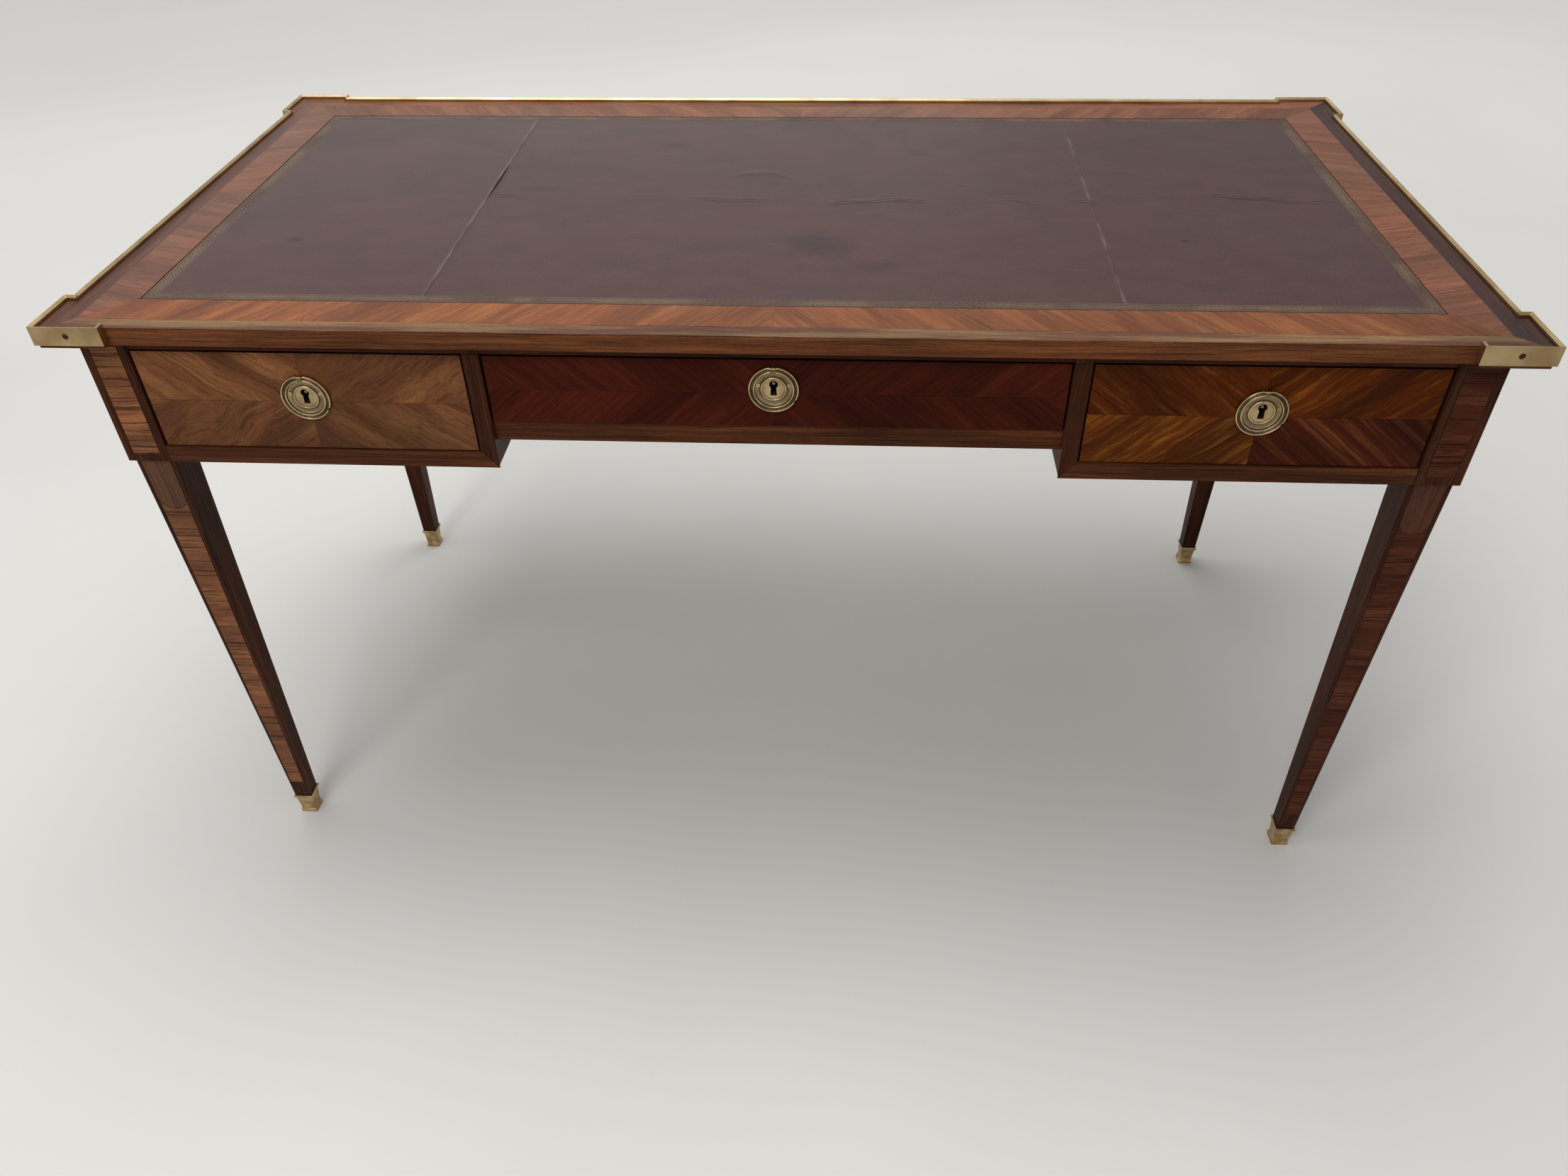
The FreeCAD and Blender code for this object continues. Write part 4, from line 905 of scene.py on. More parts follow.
class DESK_OT_leather(bpy.types.Operator):
    """Lays the leather in three skins, lifted at their seams and along a crack over a joint of the board"""

    bl_idname = "desk.leather"
    bl_label = "Lay the leather"

    # All in millimetres
    skin_arris = 0.25
    seams = (Seam(-354.5, 0.0, 0.4, 1.5, 43, 0.33), Seam(345.7, 0.0135, 0.1, 0.0, -180, 0.14))
    # A seam's ridge: its height where it gapes, the share of that where it is closed, and its half-width
    seam_lift, seam_closed, seam_half = 0.6, 0.45, 4
    # How far a seam's lean reaches beside it, its parting along it, and the crack's straying beside it
    lean_reach, parting_reach, stray_reach = 40, 46, 60
    # How far in from the front and back the seams lie flat, and over how far they then rise
    flat_edge, rise_over = 16, 20
    # The strip of leather under the parted seam, all dark as painted shade in the gap: its sides from the
    # seam, half its length, and its thickness
    shade_sheet = (-2, 4, 65, 0.2)
    # The crack: the level line that it starts from, its path, the ripple on that (rise, run), and where it is
    # open (place, reach and how far)
    crack = -5
    path = (
        (-640, -3), (-317, -3), (-211, -4), (-115, -8), (-15, -13), (46, -18), (83, -13), (124, -6),
        (148, -10), (200, -8), (250, -2), (278, -12), (330, -6), (354, -10), (420, 4), (483, 12), (541, 4),
        (582, -6), (640, -8),
    )
    ripple = ((0.9, 9.5), (0.5, 4.1))
    open_at = (
        (-334, 15, 0.5), (-165, 50, 0.16), (-92, 24, 0.34), (-45, 20, 0.42), (58, 11, 0.6), (84, 13, 0.95),
        (107, 8, 0.4), (127, 13, 1.0), (147, 8, 0.6), (200, 40, 0.08), (264, 14, 0.7), (340, 16, 0.55),
        (415, 45, 0.1), (512, 30, 0.85), (560, 24, 0.6), (612, 40, 0.25),
    )
    # The crack's height, how slowly its lips rise as it opens, those lips, and the furrow between them
    crack_lift, lip_power = 1.1, 1.5
    lips = (Mark(1.0, -3.0, 2.4), Mark(0.4, 2.8, 2.4))
    furrow = Mark(0.8, 0.0, 0.7)
    # Distances from the crack and from a seam at which the skin has extra lines of points
    crack_lines = (0, 0.5, 1.0, 1.7, 2.6, 3.6, 4.8, 6.2, 8, 11, 16)
    seam_lines = (0.6, 1.3, 2.4, 4.5, 8)
    # An old crease bent into an arc: middle, radius and reach; and its ridge
    crease = (-38, 12, 62, 36)
    crease_ridge = Mark(0.5, 0.0, 4.0)
    # Where the dye is rubbed off, and the patches of that along a seam (strength and run, broad and fine)
    crack_rub, seam_rub = Mark(0.3, -2.4, 1.2), Mark(1.0, -0.8, 1.4)
    patches = ((0.2, 23), (0.14, 7.1))
    # Painted shade: in the crack, on the slope in front of it, in the first seam (and how much more where
    # that gapes), and beside the crease
    crack_dark, crack_shadow = Mark(1.4, 0.0, 1.0), Mark(0.5, -5.5, 2.2)
    seam_dark, gaping_dark = Mark(0.35, 1.0, 1.0), 0.6
    crease_dark = Mark(0.4, -3.0, 2.5)

    def execute(self, context):
        low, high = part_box("top_leather")
        gap = sizes().leather_gap
        edges = [low.x + gap, *(seam.place * MM for seam in self.seams), high.x - gap]
        opened = (0, *(seam.gap * MM for seam in self.seams), 0)
        for i, name in enumerate(("left", "middle", "right")):
            start, stop = edges[i] + opened[i] / 2, edges[i + 1] - opened[i + 1] / 2
            skin = self.skin(f"leather_{name}", (start, stop), (low.y + gap, high.y - gap), (low.z, high.z))
            dress(skin, finish("leather"))
            mount(skin, "desk", "leather", "top_leather")
        self.seam_shade_sheet(low.z)
        return {"FINISHED"}

    def seam_shade_sheet(self, board):
        """The dark strip on the board that shows through the parted seam, as painted shade in the gap."""
        seam = self.seams[0]
        left, right, half, thick = self.shade_sheet
        near = Vector(((seam.place + left) * MM, (seam.most - half) * MM, board))
        far = Vector(((seam.place + right) * MM, (seam.most + half) * MM, board + thick * MM))
        strip = block("seam_shade_sheet", near, far)
        # The whole strip takes the leather's darkest colour, as painted shade
        layer = strip.data.attributes.new("split", "FLOAT", "POINT")
        for value in layer.data:
            value.value = 1.0
        dress(strip, finish("leather"))
        mount(strip, "desk", "leather")

    def skin(self, name, across, deep, height):
        """One skin, lifted, parted and cracked, with its bare places and its painted shade as attributes."""
        step = sizes().leather_step
        wide, long = across[1] - across[0], deep[1] - deep[0]
        piece = primitive(
            name,
            "grid",
            stretch=(wide, long, 1),
            x_subdivisions=round(wide / step),
            y_subdivisions=round(long / step),
            size=1,
            location=(sum(across) / 2, sum(deep) / 2, height[1]),
        )
        for line in self.crack_lines:
            for side in (-1, 1):
                cut(piece, (0, (self.crack + side * line) * MM, 0), Y, keep=True)
        for seam in self.seams:
            for line in self.seam_lines:
                for side in (-1, 1):
                    cut(piece, ((seam.place + side * line) * MM, 0, 0), X, keep=True)
        tidy(piece)
        flat = [(vertex.co.x / MM, vertex.co.y / MM) for vertex in piece.data.vertices]
        for vertex, (x, y) in zip(piece.data.vertices, flat):
            lifted = self.lift(x, y)
            for seam in self.seams:
                near = bell(x - seam.place, self.lean_reach, 4)
                parted = seam.parted * self.parting(seam, y) if x > seam.place else 0.0
                x += near * (seam.lean * y + parted)
            y += self.stray(x) * bell(y - self.crack, self.stray_reach, 4)
            vertex.co = (x * MM, y * MM, vertex.co.z + lifted * MM)
        modify(piece, "SOLIDIFY", thickness=height[1] - height[0], offset=-1)
        # The second attribute carries the painted shade of the crack, the seams and the crease
        for mark, amount in (("bare", self.bare), ("split", self.split)):
            layer = piece.data.attributes.new(mark, "FLOAT", "POINT")
            for value, (x, y) in zip(layer.data, flat * 2):
                value.value = amount(x, y)
        ease(piece, self.skin_arris * MM)
        return piece

    def stray(self, x):
        """How far the crack strays from its level line."""
        place = sum(rise * math.sin(x / run) for rise, run in self.ripple) - self.crack
        for (start, first), (stop, second) in zip(self.path, self.path[1:]):
            if start <= x < stop:
                share = (x - start) / (stop - start)
                place += first + (second - first) * share**2 * (3 - 2 * share)
        return place

    def gape(self, x):
        """How far the crack is open, from 0 to 1."""
        return min(1.0, sum(far * bell(x - at, reach) for at, reach, far in self.open_at))

    def parting(self, seam, y):
        """How far a seam is parted, from 0 to 1, round the place where it gapes."""
        return bell(y - seam.most, self.parting_reach, 4)

    def creased(self, mark, x, y):
        """How strong a mark along the old crease is at a point of the flat skin."""
        x_middle, y_middle, radius, reach = self.crease
        if y <= y_middle:
            return 0.0
        far = math.hypot(x - x_middle, y - y_middle) - radius
        return mark_at(mark, far) * bell(x - x_middle, reach, 4)

    def lift(self, x, y):
        """How far the leather stands off the board at a point of the flat skin."""
        low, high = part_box("top_leather")
        inside = min(y - low.y / MM, high.y / MM - y)
        calm = min(1.0, max(0.0, (inside - self.flat_edge) / self.rise_over))
        height = 0.0
        for seam in self.seams:
            swell = self.seam_closed + (1 - self.seam_closed) * self.parting(seam, y)
            height += self.seam_lift * calm * swell * bell(x - seam.place, self.seam_half)
        across, gape = y - self.crack, self.gape(x)
        lip = sum(mark_at(mark, across) for mark in self.lips)
        height += gape**self.lip_power * self.crack_lift * lip - gape * mark_at(self.furrow, across)
        return height + self.creased(self.crease_ridge, x, y)

    def bare(self, x, y):
        """How far the dye is rubbed off the lips of the seams and the crack at a point of the flat skin."""
        worn = self.gape(x) * mark_at(self.crack_rub, y - self.crack)
        (broad, broad_run), (fine, fine_run) = self.patches
        for seam in self.seams:
            patchy = seam.pale + broad * math.sin(y / broad_run + seam.place) + fine * math.sin(y / fine_run)
            worn += max(0.0, patchy) * mark_at(self.seam_rub, x - seam.place)
        return min(1.0, worn)

    def split(self, x, y):
        """How strong the painted shade of the open crack, the gaping seam and the crease is at a point of the
        flat skin.
        """
        across, gape, seam = y - self.crack, self.gape(x), self.seams[0]
        open_dark = min(1.0, self.crack_dark.strength * gape)
        dark = open_dark * bell(across - self.crack_dark.beside, self.crack_dark.half)
        dark += gape * mark_at(self.crack_shadow, across)
        gaping = self.seam_dark.strength + self.gaping_dark * self.parting(seam, y)
        dark += gaping * bell(x - seam.place - self.seam_dark.beside, self.seam_dark.half)
        return min(1.0, dark + self.creased(self.crease_dark, x, y))


# An edge of the leather: the way along it and across it, 1 or -1 for inward, the outer line of the gilt roll,
# where that starts and stops, and the height of the leather
Edge = namedtuple("Edge", "run across inward out start stop top")


class DESK_OT_tooling(bpy.types.Operator):
    """Rolls the gilt rope between its two lines into the leather, along all four edges"""

    bl_idname = "desk.tooling"
    bl_label = "Gild the leather"

    # Millimetres and degrees: the lines, the thickness of the leaf, how far it is sunk, and the lobes'
    # half-widths, crown, shoulder, lean and number of sides
    line_width = 0.5
    leaf_height = 0.05
    sunk = 0.1
    lobe = (1.5, 6.4)
    lobe_crown = 0.12
    lobe_shoulder = 1.0
    lean = 48
    lobe_sides = 18

    def execute(self, context):
        size = sizes()
        low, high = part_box("top_leather")
        inset = size.leather_gap + size.tooling_margin
        grounds, gilt = [], []
        for run, across, start, stop, out in (
            (X, Y, low.x, high.x, low.y),
            (X, Y, low.x, high.x, high.y),
            (Y, X, low.y, high.y, low.x),
            (Y, X, low.y, high.y, high.x),
        ):
            inward = math.copysign(1, -out)
            edge = Edge(run, across, inward, out + inward * inset, start + inset, stop - inset, high.z)
            ground = self.strip("tooled_ground", edge, 0, size.tooling_width, self.leaf_height)
            for end, corner in ((-1, edge.start), (1, edge.stop)):
                cut(ground, across * edge.out + run * corner, run * end + across * inward)
            grounds.append(ground)
            for offset in (0, size.tooling_width - self.line_width * MM):
                gilt.append(self.strip("gilt_line", edge, offset, self.line_width * MM, 2 * self.leaf_height))
            gilt.append(self.rope(edge))
        for name, pieces, material in (
            ("tooled_ground", grounds, "tooled ground"),
            ("gilt_roll", gilt, "gold"),
        ):
            roll = join(name, pieces)
            dress(roll, finish(material))
            mount(roll, "desk", "leather")
        return {"FINISHED"}

    def strip(self, name, edge, offset, width, rise):
        """A thin strip along an edge, that far in from the outer line of the roll."""
        near = edge.across * (edge.out + edge.inward * offset) + edge.run * (edge.start + offset)
        far = edge.across * (edge.out + edge.inward * (offset + width)) + edge.run * (edge.stop - offset)
        return block(name, near + Z * (edge.top - self.sunk * MM), far + Z * (edge.top + rise * MM))

    def rope(self, edge):
        """One run of slanting lobes, as a rope twists."""
        half = sizes().tooling_width / 2
        start, stop = edge.start + half, edge.stop - half
        count = round((stop - start) / sizes().tooling_pitch)
        pitch = (stop - start) / count
        middle = edge.across * (edge.out + edge.inward * half) + Z * (edge.top + self.leaf_height * MM)
        lobe = primitive(
            "gilt_lobe",
            "circle",
            stretch=(self.lobe[0] * MM, self.lobe[1] * MM, 1),
            turned=math.radians(-self.lean if edge.run == X else 90 - self.lean),
            vertices=self.lobe_sides,
            radius=1,
            fill_type="NGON",
            location=middle + edge.run * (start + pitch / 2),
        )
        with editing(lobe):
            bpy.ops.mesh.extrude_region_move(TRANSFORM_OT_translate={"value": (0, 0, self.leaf_height * MM)})
            bpy.ops.mesh.inset(thickness=self.lobe_shoulder * MM, depth=self.lobe_crown * MM)
            face_out()
        spaced = {"use_relative_offset": False, "use_constant_offset": True}
        modify(lobe, "ARRAY", count=count, constant_offset_displace=edge.run * pitch, **spaced)
        return lobe


class DESK_OT_drawer_leaves(bpy.types.Operator):
    """Veneers the drawer fronts with four leaves each, their grain running to the keyhole"""

    bl_idname = "desk.drawer_leaves"
    bl_label = "Veneer the drawers"

    # Slope of the grain, and the leaves' woods from upper left to lower right
    leaves = {
        "left": (36, ["tawny"] * 4),
        "centre": (42, ["dark"] * 4),
        "right": (40, ["golden", "golden", "amber", "red"]),
    }

    def execute(self, context):
        clear = sizes().key_clear
        for i, (name, (angle, woods)) in enumerate(self.leaves.items()):
            low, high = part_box(f"drawer_{name}_front")
            middle = (low + high) / 2
            face = Face(Vector((middle.x, low.y, middle.z)), X, Z, -Y)
            half = high - middle
            rise = plate_axis(name).z - middle.z
            stem, body = f"leaf_{name}_drawer", f"drawer_{name}"
            quarters(stem, body, face, (half.x, half.z), angle, woods, 5 * i, clear, rise)
        return {"FINISHED"}


class DESK_OT_brasses(bpy.types.Operator):
    """Turns the escutcheons and the drop rings of the drawers"""

    bl_idname = "desk.brasses"
    bl_label = "Turn the brasses"

    # Radii and heights off the drawer's face in millimetres, as the frame has them
    plate_radius, plate_height = 20.4, 0.8
    dish_radius, dish_rim, dish_hollow, dish_wall = 18.4, 2.4, 1.0, 0.3
    boss_middle, boss_bead, boss_floor = 12.1, 0.95, 1.75
    ring_inner, ring_outer, ring_back = 18.9, 25.0, 1.4
    inner_bead, outer_bead, bead_base, cove_floor = 0.85, 0.8, 3.3, 2.15
    lug_width, lug_foot, lug_shelf, lug_top, lug_height, lug_arris = 5.4, 17.6, 20.6, 25.0, 5.2, 0.5
    ring_gap = 0.6
    hinge_radius, hinge_height, hinge_bar, hinge_gap, hinge_bite = 22.8, 3.0, 1.2, 0.05, 1
    nick_radius, nick_depth, nick_angle = 3.5, 1.2, -30
    key_rise, key_radius, key_drop, key_neck, key_foot = 5.0, 4.4, 7.0, 5.5, 6.4
    # A cutter starts this far behind the face, and is this long
    behind, through = 1, 2 * lug_height
    # How the dish flares, and the steps across the dish and the cove and round the keyhole's eye
    dish_flare, dish_steps, cove_steps, eye_steps = 2.4, 8, 6, 24

    def execute(self, context):
        for name in DRAWERS:
            axis = plate_axis(name)
            for piece, body, node in (
                (self.escutcheon(name, axis), f"drawer_{name}", f"drawer_{name}_escutcheon"),
                (self.ring(name, axis), f"ring_{name}", f"drawer_{name}_ring"),
            ):
                lay_round(piece, axis)
                dress(piece, finish("turned brass"))
                mount(piece, body, "brass", node)
        return {"FINISHED"}

    def at(self, axis, right, out, up):
        """A point beside the axis: millimetres to the right, off the drawer's face, and up."""
        return axis + Vector((right, -out, up)) * MM

    def escutcheon(self, name, axis):
        """A dished plate with a raised boss round its keyhole, and the lug that carries the ring."""
        boss, wall = self.boss_middle + self.boss_bead, self.dish_radius + self.dish_wall
        dish = []
        for i in range(self.dish_steps + 1):
            share = i / self.dish_steps
            height = self.dish_hollow + (self.dish_rim - self.dish_hollow) * share**self.dish_flare
            dish.append((boss + share * (self.dish_radius - boss), height))
        profile = [(0, 0), (self.plate_radius, 0), (self.plate_radius, self.plate_height)]
        profile += [(wall, self.plate_height), (wall, self.dish_rim - self.dish_wall)]
        profile += dish[::-1] + bead(self.boss_middle, self.boss_floor, self.boss_bead)
        plate = turn(f"escutcheon_{name}", axis, [*profile, (0, self.boss_floor)])
        bore(plate, self.keyhole(axis))
        half = self.lug_width / 2
        lug = []
        for part, near, far, bottom, top in (
            ("lug_foot", self.plate_height, self.dish_rim, self.lug_foot, self.lug_shelf),
            ("lug_head", 0, self.lug_height, self.lug_shelf, self.lug_top),
        ):
            lug.append(block(part, self.at(axis, -half, near, bottom), self.at(axis, half, far, top)))
        ease(lug[1], self.lug_arris * MM)
        return join(f"escutcheon_{name}", [plate, *lug])

    def keyhole(self, axis):
        """The keyhole as one prism through the plate: a round eye over a slot that widens downwards."""
        shoulder = math.asin(self.key_neck / 2 / self.key_radius)
        half = self.key_foot / 2
        outline = [(-half, -self.key_drop), (half, -self.key_drop)]
        for i in range(self.eye_steps + 1):
            angle = -math.pi / 2 + shoulder + (2 * math.pi - 2 * shoulder) * i / self.eye_steps
            right, up = self.key_radius * math.cos(angle), self.key_radius * math.sin(angle)
            outline.append((right, self.key_rise + up))
        start = [self.at(axis, right, -self.behind, up) for right, up in outline]
        return prism("keyhole", start, (0, -self.through * MM, 0))

    def ring(self, name, axis):
        """A drop ring of two beads with a cove between them, nicked for the finger, with its hinge pins."""
        outer_middle = self.ring_outer - self.outer_bead
        inner_middle = self.ring_inner + self.inner_bead
        outer_foot = outer_middle - self.outer_bead
        inner_foot = inner_middle + self.inner_bead
        cove = []
        for i in range(1, self.cove_steps):
            share = i / self.cove_steps
            dip = math.sin(math.pi * share) * (self.bead_base - self.cove_floor)
            cove.append((outer_foot + (inner_foot - outer_foot) * share, self.bead_base - dip))
        profile = bead(outer_middle, self.bead_base, self.outer_bead) + cove
        profile += bead(inner_middle, self.bead_base, self.inner_bead)
        profile += [(self.ring_inner, self.ring_back), (self.ring_outer, self.ring_back)]
        half_gap = self.lug_width / 2 + self.ring_gap
        open_angle = math.degrees(math.asin(half_gap / self.hinge_radius))
        ring = turn(f"ring_{name}", axis, profile, 90 + open_angle, 360 - 2 * open_angle)
        angle = math.radians(self.nick_angle)
        out = self.ring_outer + self.nick_radius - self.nick_depth
        ends = [self.at(axis, out * math.cos(angle), off, out * math.sin(angle)) for off in (0, self.through)]
        bore(ring, rod("nick", *ends, self.nick_radius * MM))
        pins = []
        for side in (-1, 1):
            reach = (self.lug_width / 2 + self.hinge_gap, half_gap + self.hinge_bite)
            ends = [self.at(axis, side * far, self.hinge_height, self.hinge_radius) for far in reach]
            pins.append(rod("pin", *ends, self.hinge_bar * MM))
        return join(f"ring_{name}", [ring, *pins])


class DESK_OT_facings(bpy.types.Operator):
    """Faces the dividers and the rails under the side drawers, mitred where they meet at the kneehole"""

    bl_idname = "desk.facings"
    bl_label = "Face the frieze"

    # Number of the first leaf
    first_leaf = 20

    def execute(self, context):
        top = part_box("top_rail")[0].z
        for i, (side, sign) in enumerate(SIDES.items()):
            low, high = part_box(f"divider_{side}")
            rail_low, rail_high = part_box(f"bottom_rail_{side}")
            leg_low, leg_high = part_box(f"leg_front_{side}")
            outer, inner = (low.x, high.x) if sign < 0 else (high.x, low.x)
            leg_face = leg_high.x if sign < 0 else leg_low.x
            face = Face(Vector((0, low.y, 0)), X, Z, -Y)
            away = Vector((-(rail_high.z - rail_low.z) * sign, abs(outer - inner)))
            corner = (inner, low.z)
            for name, far, angle, off, wood in (
                ("rail", (leg_face, rail_high.z), 0, away, "rail"),
                ("divider", (outer, top), 90, -away, "kingwood"),
            ):
                mitre = {"shift": self.first_leaf + i, "cuts": [(corner, off)]}
                piece = leaf(f"facing_{name}_{side}", face, corner, far, angle, finish(wood), **mitre)
                mount(piece, "desk", "dark_veneer")
        return {"FINISHED"}


# A leg's taper: half its width at the shoulder and the height of that, and the same at its foot
Taper = namedtuple("Taper", "half_top shoulder half_foot foot")


def half_at(taper, height):
    """Half the width of a leg at a height."""
    widening = taper.half_top - taper.half_foot
    return taper.half_foot + widening * (height - taper.foot) / (taper.shoulder - taper.foot)


class DESK_OT_leg_inlays(bpy.types.Operator):
    """Inlays the two outer faces of each leg: a panel on its block, a tongue and a long tapered panel"""

    bl_idname = "desk.leg_inlays"
    bl_label = "Inlay the legs"

    # The leg's taper as the frame has it, in millimetres: its width at the foot, and the height of that foot
    foot_width = 22
    foot_height = 30
    # Number of the first leaf, and how many numbers each face takes
    first_leaf, leaves_a_face = 30, 3
    # How proud the dark line of a block stands, as a share of its panel
    block_string = 0.5
    # The round end of a tongue: its radius as a share of half the tongue's width, and its steps
    round_share, round_steps = 0.97, 10

    def execute(self, context):
        shift = self.first_leaf
        for side, sign in SIDES.items():
            # The right legs take the redder copies, darker as painted shade of the right side
            wood = "panel" if sign < 0 else "panel_red"
            for end, way in ENDS.items():
                for direction, name in ((X * sign, "side"), (Y * way, "end")):
                    self.block_panel(f"{end}_{side}", name, direction, wood, shift)
                    self.taper(f"{end}_{side}", name, direction, wood, shift)
                    shift += self.leaves_a_face
        return {"FINISHED"}

    def block_panel(self, leg, name, direction, wood, shift):
        """The panel of the block above the leg, on one face, with its dark line."""
        size = sizes()
        low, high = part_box(f"leg_{leg}")
        apron_low, apron_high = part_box("side_apron_left")
        middle = (low + high) / 2
        middle.z = (apron_low.z + apron_high.z) / 2
        half_block = (high.x - low.x) / 2
        face = Face(middle + direction * half_block, Z.cross(direction), Z, direction)
        half = half_block - size.block_margin
        tall = (apron_high.z - apron_low.z) / 2 - size.block_margin
        for part, margin, material, proud in (
            ("string", size.string, "string", self.block_string),
            ("panel", 0.0, wood, 1.0),
        ):
            reach = (half + margin, tall + margin)
            start = [-r for r in reach]
            stem = f"{part}_block_{leg}_{name}"
            piece = leaf(stem, face, start, reach, 0, finish(material), shift=shift, proud=proud)
            mount(piece, "desk", "dark_veneer")

    def taper(self, leg, name, direction, wood, shift):
        """The tongue and the panel of one face, drawn in towards the leg's axis as the leg tapers."""
        size = sizes()
        low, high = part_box(f"leg_{leg}")
        shoe_low, shoe_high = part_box(f"shoe_{leg}")
        axis = (shoe_low + shoe_high) / 2
        axis.z = 0
        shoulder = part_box("side_apron_left")[0].z
        half_top = min(abs(low.x - axis.x), abs(high.x - axis.x))
        leg_taper = Taper(half_top, shoulder, self.foot_width * MM / 2, self.foot_height * MM)
        half = half_at(leg_taper, shoulder) - size.leg_border
        start = shoulder - size.tongue_length
        ledge = start + half
        half_panel = half_at(leg_taper, ledge) - size.leg_border
        line = size.string
        for part, top, bottom, wide, proud, rounded, material, angle in (
            ("string_leg", ledge, size.leg_foot - line, half_panel + line, 0.4, False, "string", 90),
            ("panel_leg", ledge, size.leg_foot, half_panel, 0.7, False, wood, 0),
            ("string_tongue", shoulder, start - line, half + line, 0.85, True, "string", 90),
            ("tongue", shoulder, start, half, 1.0, True, wood.replace("panel", "tongue"), 90),
        ):
            face = Face(axis + direction * half_at(leg_taper, top), Z.cross(direction), Z, direction)
            piece = block(
                f"{part}_{leg}_{name}",
                spot(face, -wide, bottom, -size.veneer_depth),
                spot(face, wide, top, proud * size.veneer_proud),
            )
            if rounded:
                self.round_end(piece, bottom, wide)
            for vertex in piece.data.vertices:
                drawn_in = half_at(leg_taper, vertex.co.z) / half_at(leg_taper, top)
                vertex.co.x = axis.x + (vertex.co.x - axis.x) * drawn_in
                vertex.co.y = axis.y + (vertex.co.y - axis.y) * drawn_in
            ease(piece, size.veneer_arris)
            lay_grain(piece, face, angle, shift=shift)
            dress(piece, finish(material))
            mount(piece, "desk", "dark_veneer")

    def round_end(self, piece, bottom, half):
        """Bevels the two upright corners at the bottom of a plate into a half-round."""
        with editing(piece):
            bpy.ops.mesh.select_mode(type="EDGE")
            bpy.ops.mesh.select_all(action="DESELECT")
        mesh = piece.data
        for edge in mesh.edges:
            first, second = (mesh.vertices[i].co for i in edge.vertices)
            low_down = max(first.z, second.z) < bottom + LEVEL
            edge.select = low_down and (first - second).length < half
        bpy.ops.object.mode_set(mode="EDIT")
        bpy.ops.mesh.bevel(offset=half * self.round_share, segments=self.round_steps, affect="EDGES")
        bpy.ops.object.mode_set(mode="OBJECT")


class DESK_OT_apron_panels(bpy.types.Operator):
    """Veneers the sides and the back in quartered panels, framed by the dark wood of the aprons"""

    bl_idname = "desk.apron_panels"
    bl_label = "Veneer the sides and back"

    slope = 38
    # Numbers of the first leaf at the middle of the sides and at the back, and how many each panel takes
    side_leaf, back_leaf, leaves_a_panel = 60, 70, 5

    def execute(self, context):
        margin = sizes().apron_margin
        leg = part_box("leg_back_right")[0]
        panels = []
        for side, sign in SIDES.items():
            low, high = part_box(f"side_apron_{side}")
            middle = (low + high) / 2
            middle.x = low.x if sign < 0 else high.x
            face = Face(middle, Y * sign, Z, X * sign)
            half = (leg.y - middle.y, (high.z - low.z) / 2)
            wood = "tawny" if sign < 0 else "golden"
            shift = self.side_leaf + self.leaves_a_panel * sign
            panels.append((f"leaf_{side}_apron", face, half, wood, shift))
        low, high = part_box("back_apron")
        divider_low, divider_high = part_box("divider_right")
        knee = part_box("centre_rail")[0].z
        for i, (name, start, stop, bottom, wood) in enumerate(
            (
                ("back_right", divider_high.x, leg.x, low.z, "golden"),
                ("back_centre", -divider_low.x, divider_low.x, knee, "dark"),
                ("back_left", -leg.x, -divider_high.x, low.z, "tawny"),
            )
        ):
            middle = Vector(((start + stop) / 2, high.y, (bottom + high.z) / 2))
            half = ((stop - start) / 2, (high.z - bottom) / 2)
            shift = self.back_leaf + self.leaves_a_panel * i
            panels.append((f"leaf_{name}", Face(middle, -X, Z, Y), half, wood, shift))
        for name, face, half, wood, shift in panels:
            quarters(name, "desk", face, [h - margin for h in half], self.slope, [wood] * 4, shift)
        return {"FINISHED"}


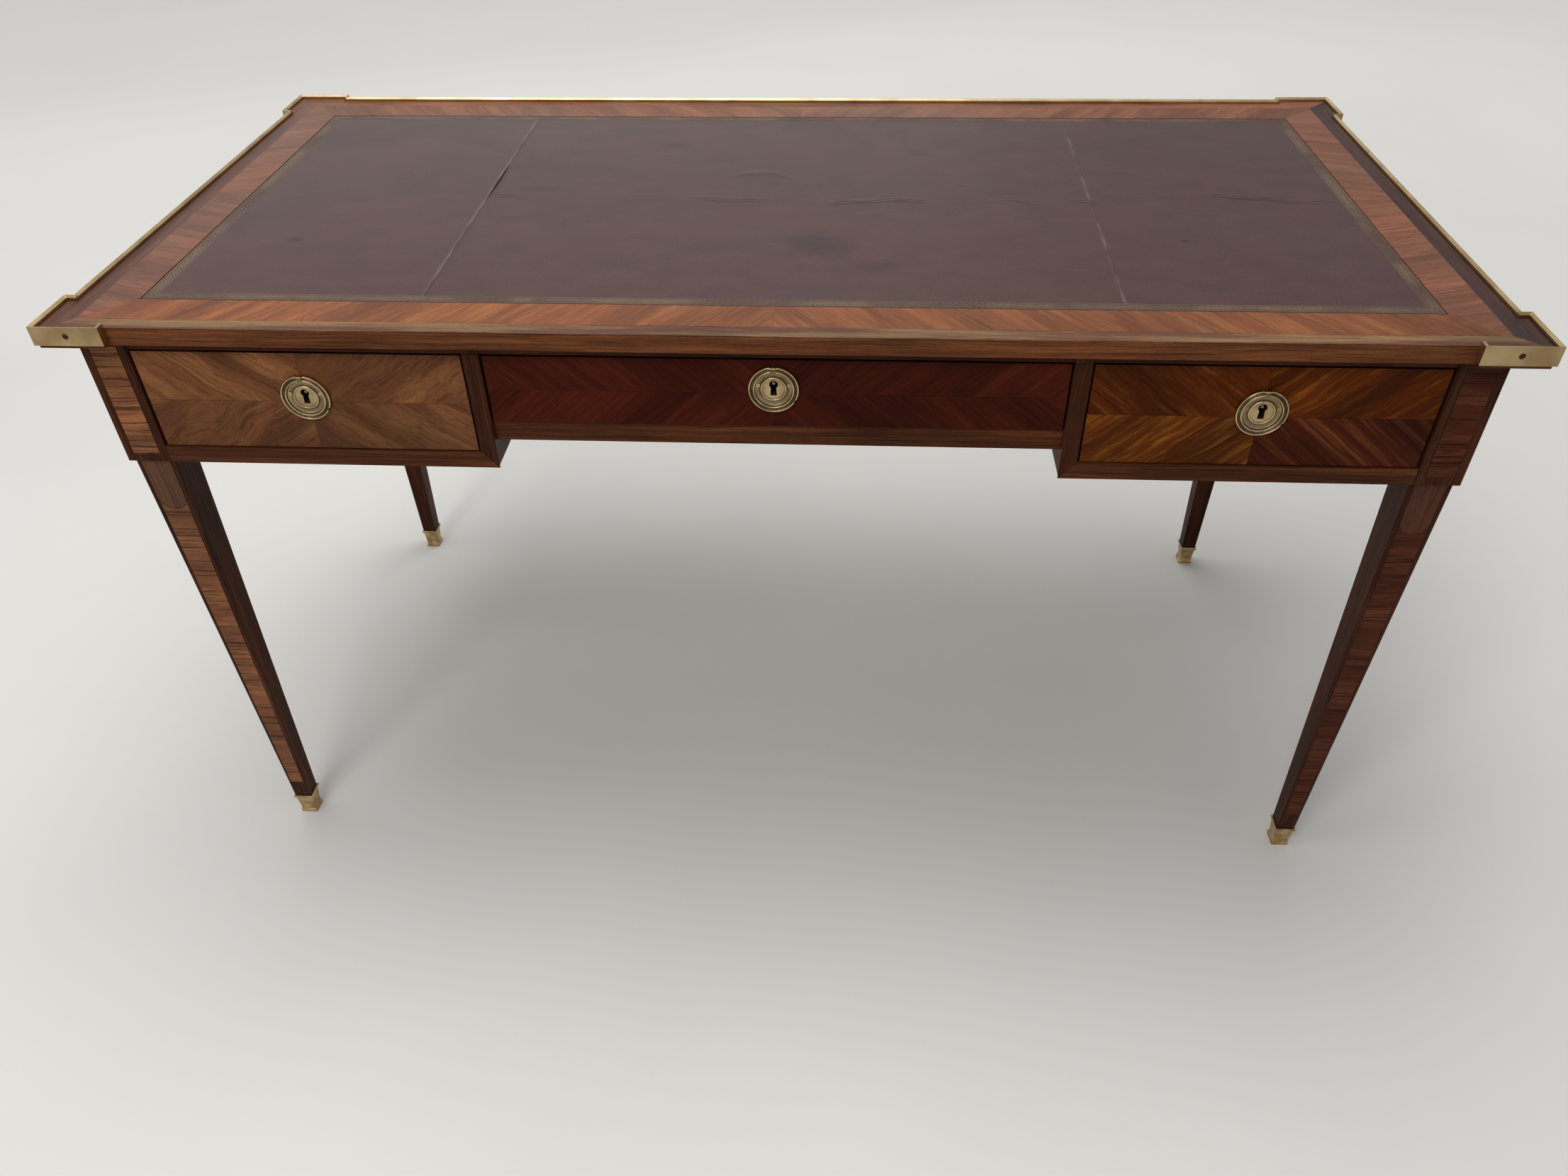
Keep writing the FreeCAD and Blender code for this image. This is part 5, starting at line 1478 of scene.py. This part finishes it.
class DESK_OT_stage(bpy.types.Operator):
    """Sets the pale floor, the soft light and the camera of the photograph"""

    bl_idname = "desk.stage"
    bl_label = "Set the stage"

    # The camera as solved from the photograph: place in metres, angles in degrees, lens in millimetres
    camera_place = (0.0736, -1.3388, 1.2789)
    pitch, yaw, roll = -39.668, 3.795, 1.045
    lens, sensor = 26.853, 36
    # Nearest thing that the camera shows, in metres, and sides of the round floor
    nearest, floor_sides = 0.01, 96
    # Lamps: name, place, target and size in metres, and power in watts
    lamps = (
        ("overhead softbox", (-0.3, 0.3, 3.0), (0, -0.1, 0.7), (2.6, 1.6), 62),
        ("front fill", (-0.9, -2.3, 3.0), (0, -0.3, 0.5), (1.2, 0.8), 36),
        ("back wall", (-1.2, 3.2, 1.5), (0, 0.3, 1.0), (4.2, 1.1), 10),
    )
    # Brightness of the sky as a light, as mirrored, and as seen
    sky, sky_mirrored, sky_seen = 0.36, 0.55, 0.62

    def execute(self, context):
        self.floor()
        self.light(context.scene)
        self.camera(context.scene)
        context.scene.view_settings.view_transform = "Standard"
        return {"FINISHED"}

    def floor(self):
        reach = sizes().floor_reach
        floor = primitive("floor", "circle", vertices=self.floor_sides, radius=reach, fill_type="NGON")
        floor.data.materials.append(finish("floor"))

    def light(self, scene):
        scene.world = scene.world or bpy.data.worlds.new("studio")
        scene.world.use_nodes = True
        tree = scene.world.node_tree
        strength = self.sky
        for kind, level in (("Is Glossy Ray", self.sky_mirrored), ("Is Camera Ray", self.sky_seen)):
            ray = add(tree, "LightPath", out=kind)
            strength = add(tree, "MapRange", (ray, 0.0, 1.0, strength, level))
        fill(tree.nodes["Background"], {"Color": linear("#f4f4f5"), "Strength": strength})
        for name, place, target, (wide, deep), power in self.lamps:
            lamp = bpy.data.lights.new(name, "AREA")
            lamp.shape = "RECTANGLE"
            lamp.size, lamp.size_y = wide, deep
            lamp.energy = power
            holder = bpy.data.objects.new(name, lamp)
            scene.collection.objects.link(holder)
            holder.location = place
            holder.rotation_euler = (Vector(target) - Vector(place)).to_track_quat("-Z", "Y").to_euler()

    def camera(self, scene):
        data = bpy.data.cameras.new("photograph")
        data.sensor_fit = "HORIZONTAL"
        data.sensor_width = self.sensor
        data.lens = self.lens
        data.clip_start = self.nearest
        camera = bpy.data.objects.new("photograph", data)
        scene.collection.objects.link(camera)
        turned = Matrix.Rotation(math.radians(self.yaw), 4, "Z")
        tilted = Matrix.Rotation(math.radians(90 + self.pitch), 4, "X")
        leaning = Matrix.Rotation(math.radians(-self.roll), 4, "Z")
        camera.matrix_world = Matrix.Translation(self.camera_place) @ turned @ tilted @ leaning
        scene.camera = camera


OPERATORS = (
    DESK_OT_frame_finishes,
    DESK_OT_eased_frame,
    DESK_OT_borders,
    DESK_OT_leather,
    DESK_OT_tooling,
    DESK_OT_drawer_leaves,
    DESK_OT_brasses,
    DESK_OT_facings,
    DESK_OT_leg_inlays,
    DESK_OT_apron_panels,
    DESK_OT_stage,
)


class DESK_PT_dressing(bpy.types.Panel):
    """Lists the steps that dress the desk, and their sizes and colours"""

    bl_label = "Flat desk"
    bl_idname = "DESK_PT_dressing"
    bl_space_type = "VIEW_3D"
    bl_region_type = "UI"
    bl_category = "Desk"

    def draw(self, context):
        for operator in OPERATORS:
            self.layout.operator(operator.bl_idname)
        for group in (context.scene.desk_sizes, context.scene.desk_colours):
            box = self.layout.box()
            for name in group.__annotations__:
                box.prop(group, name)


CLASSES = (DeskSizes, DeskColours, *OPERATORS, DESK_PT_dressing)


def register():
    """Registers the classes, and hangs the sizes and colours on the scene."""
    for cls in CLASSES:
        bpy.utils.register_class(cls)
    bpy.types.Scene.desk_sizes = PointerProperty(type=DeskSizes)
    bpy.types.Scene.desk_colours = PointerProperty(type=DeskColours)


def unregister():
    """Takes the sizes and colours off the scene, and unregisters the classes."""
    del bpy.types.Scene.desk_sizes
    del bpy.types.Scene.desk_colours
    for cls in reversed(CLASSES):
        bpy.utils.unregister_class(cls)


def main():
    register()
    for operator in OPERATORS:
        getattr(bpy.ops.desk, operator.bl_idname.split(".")[1])()


if __name__ == "__main__":
    main()
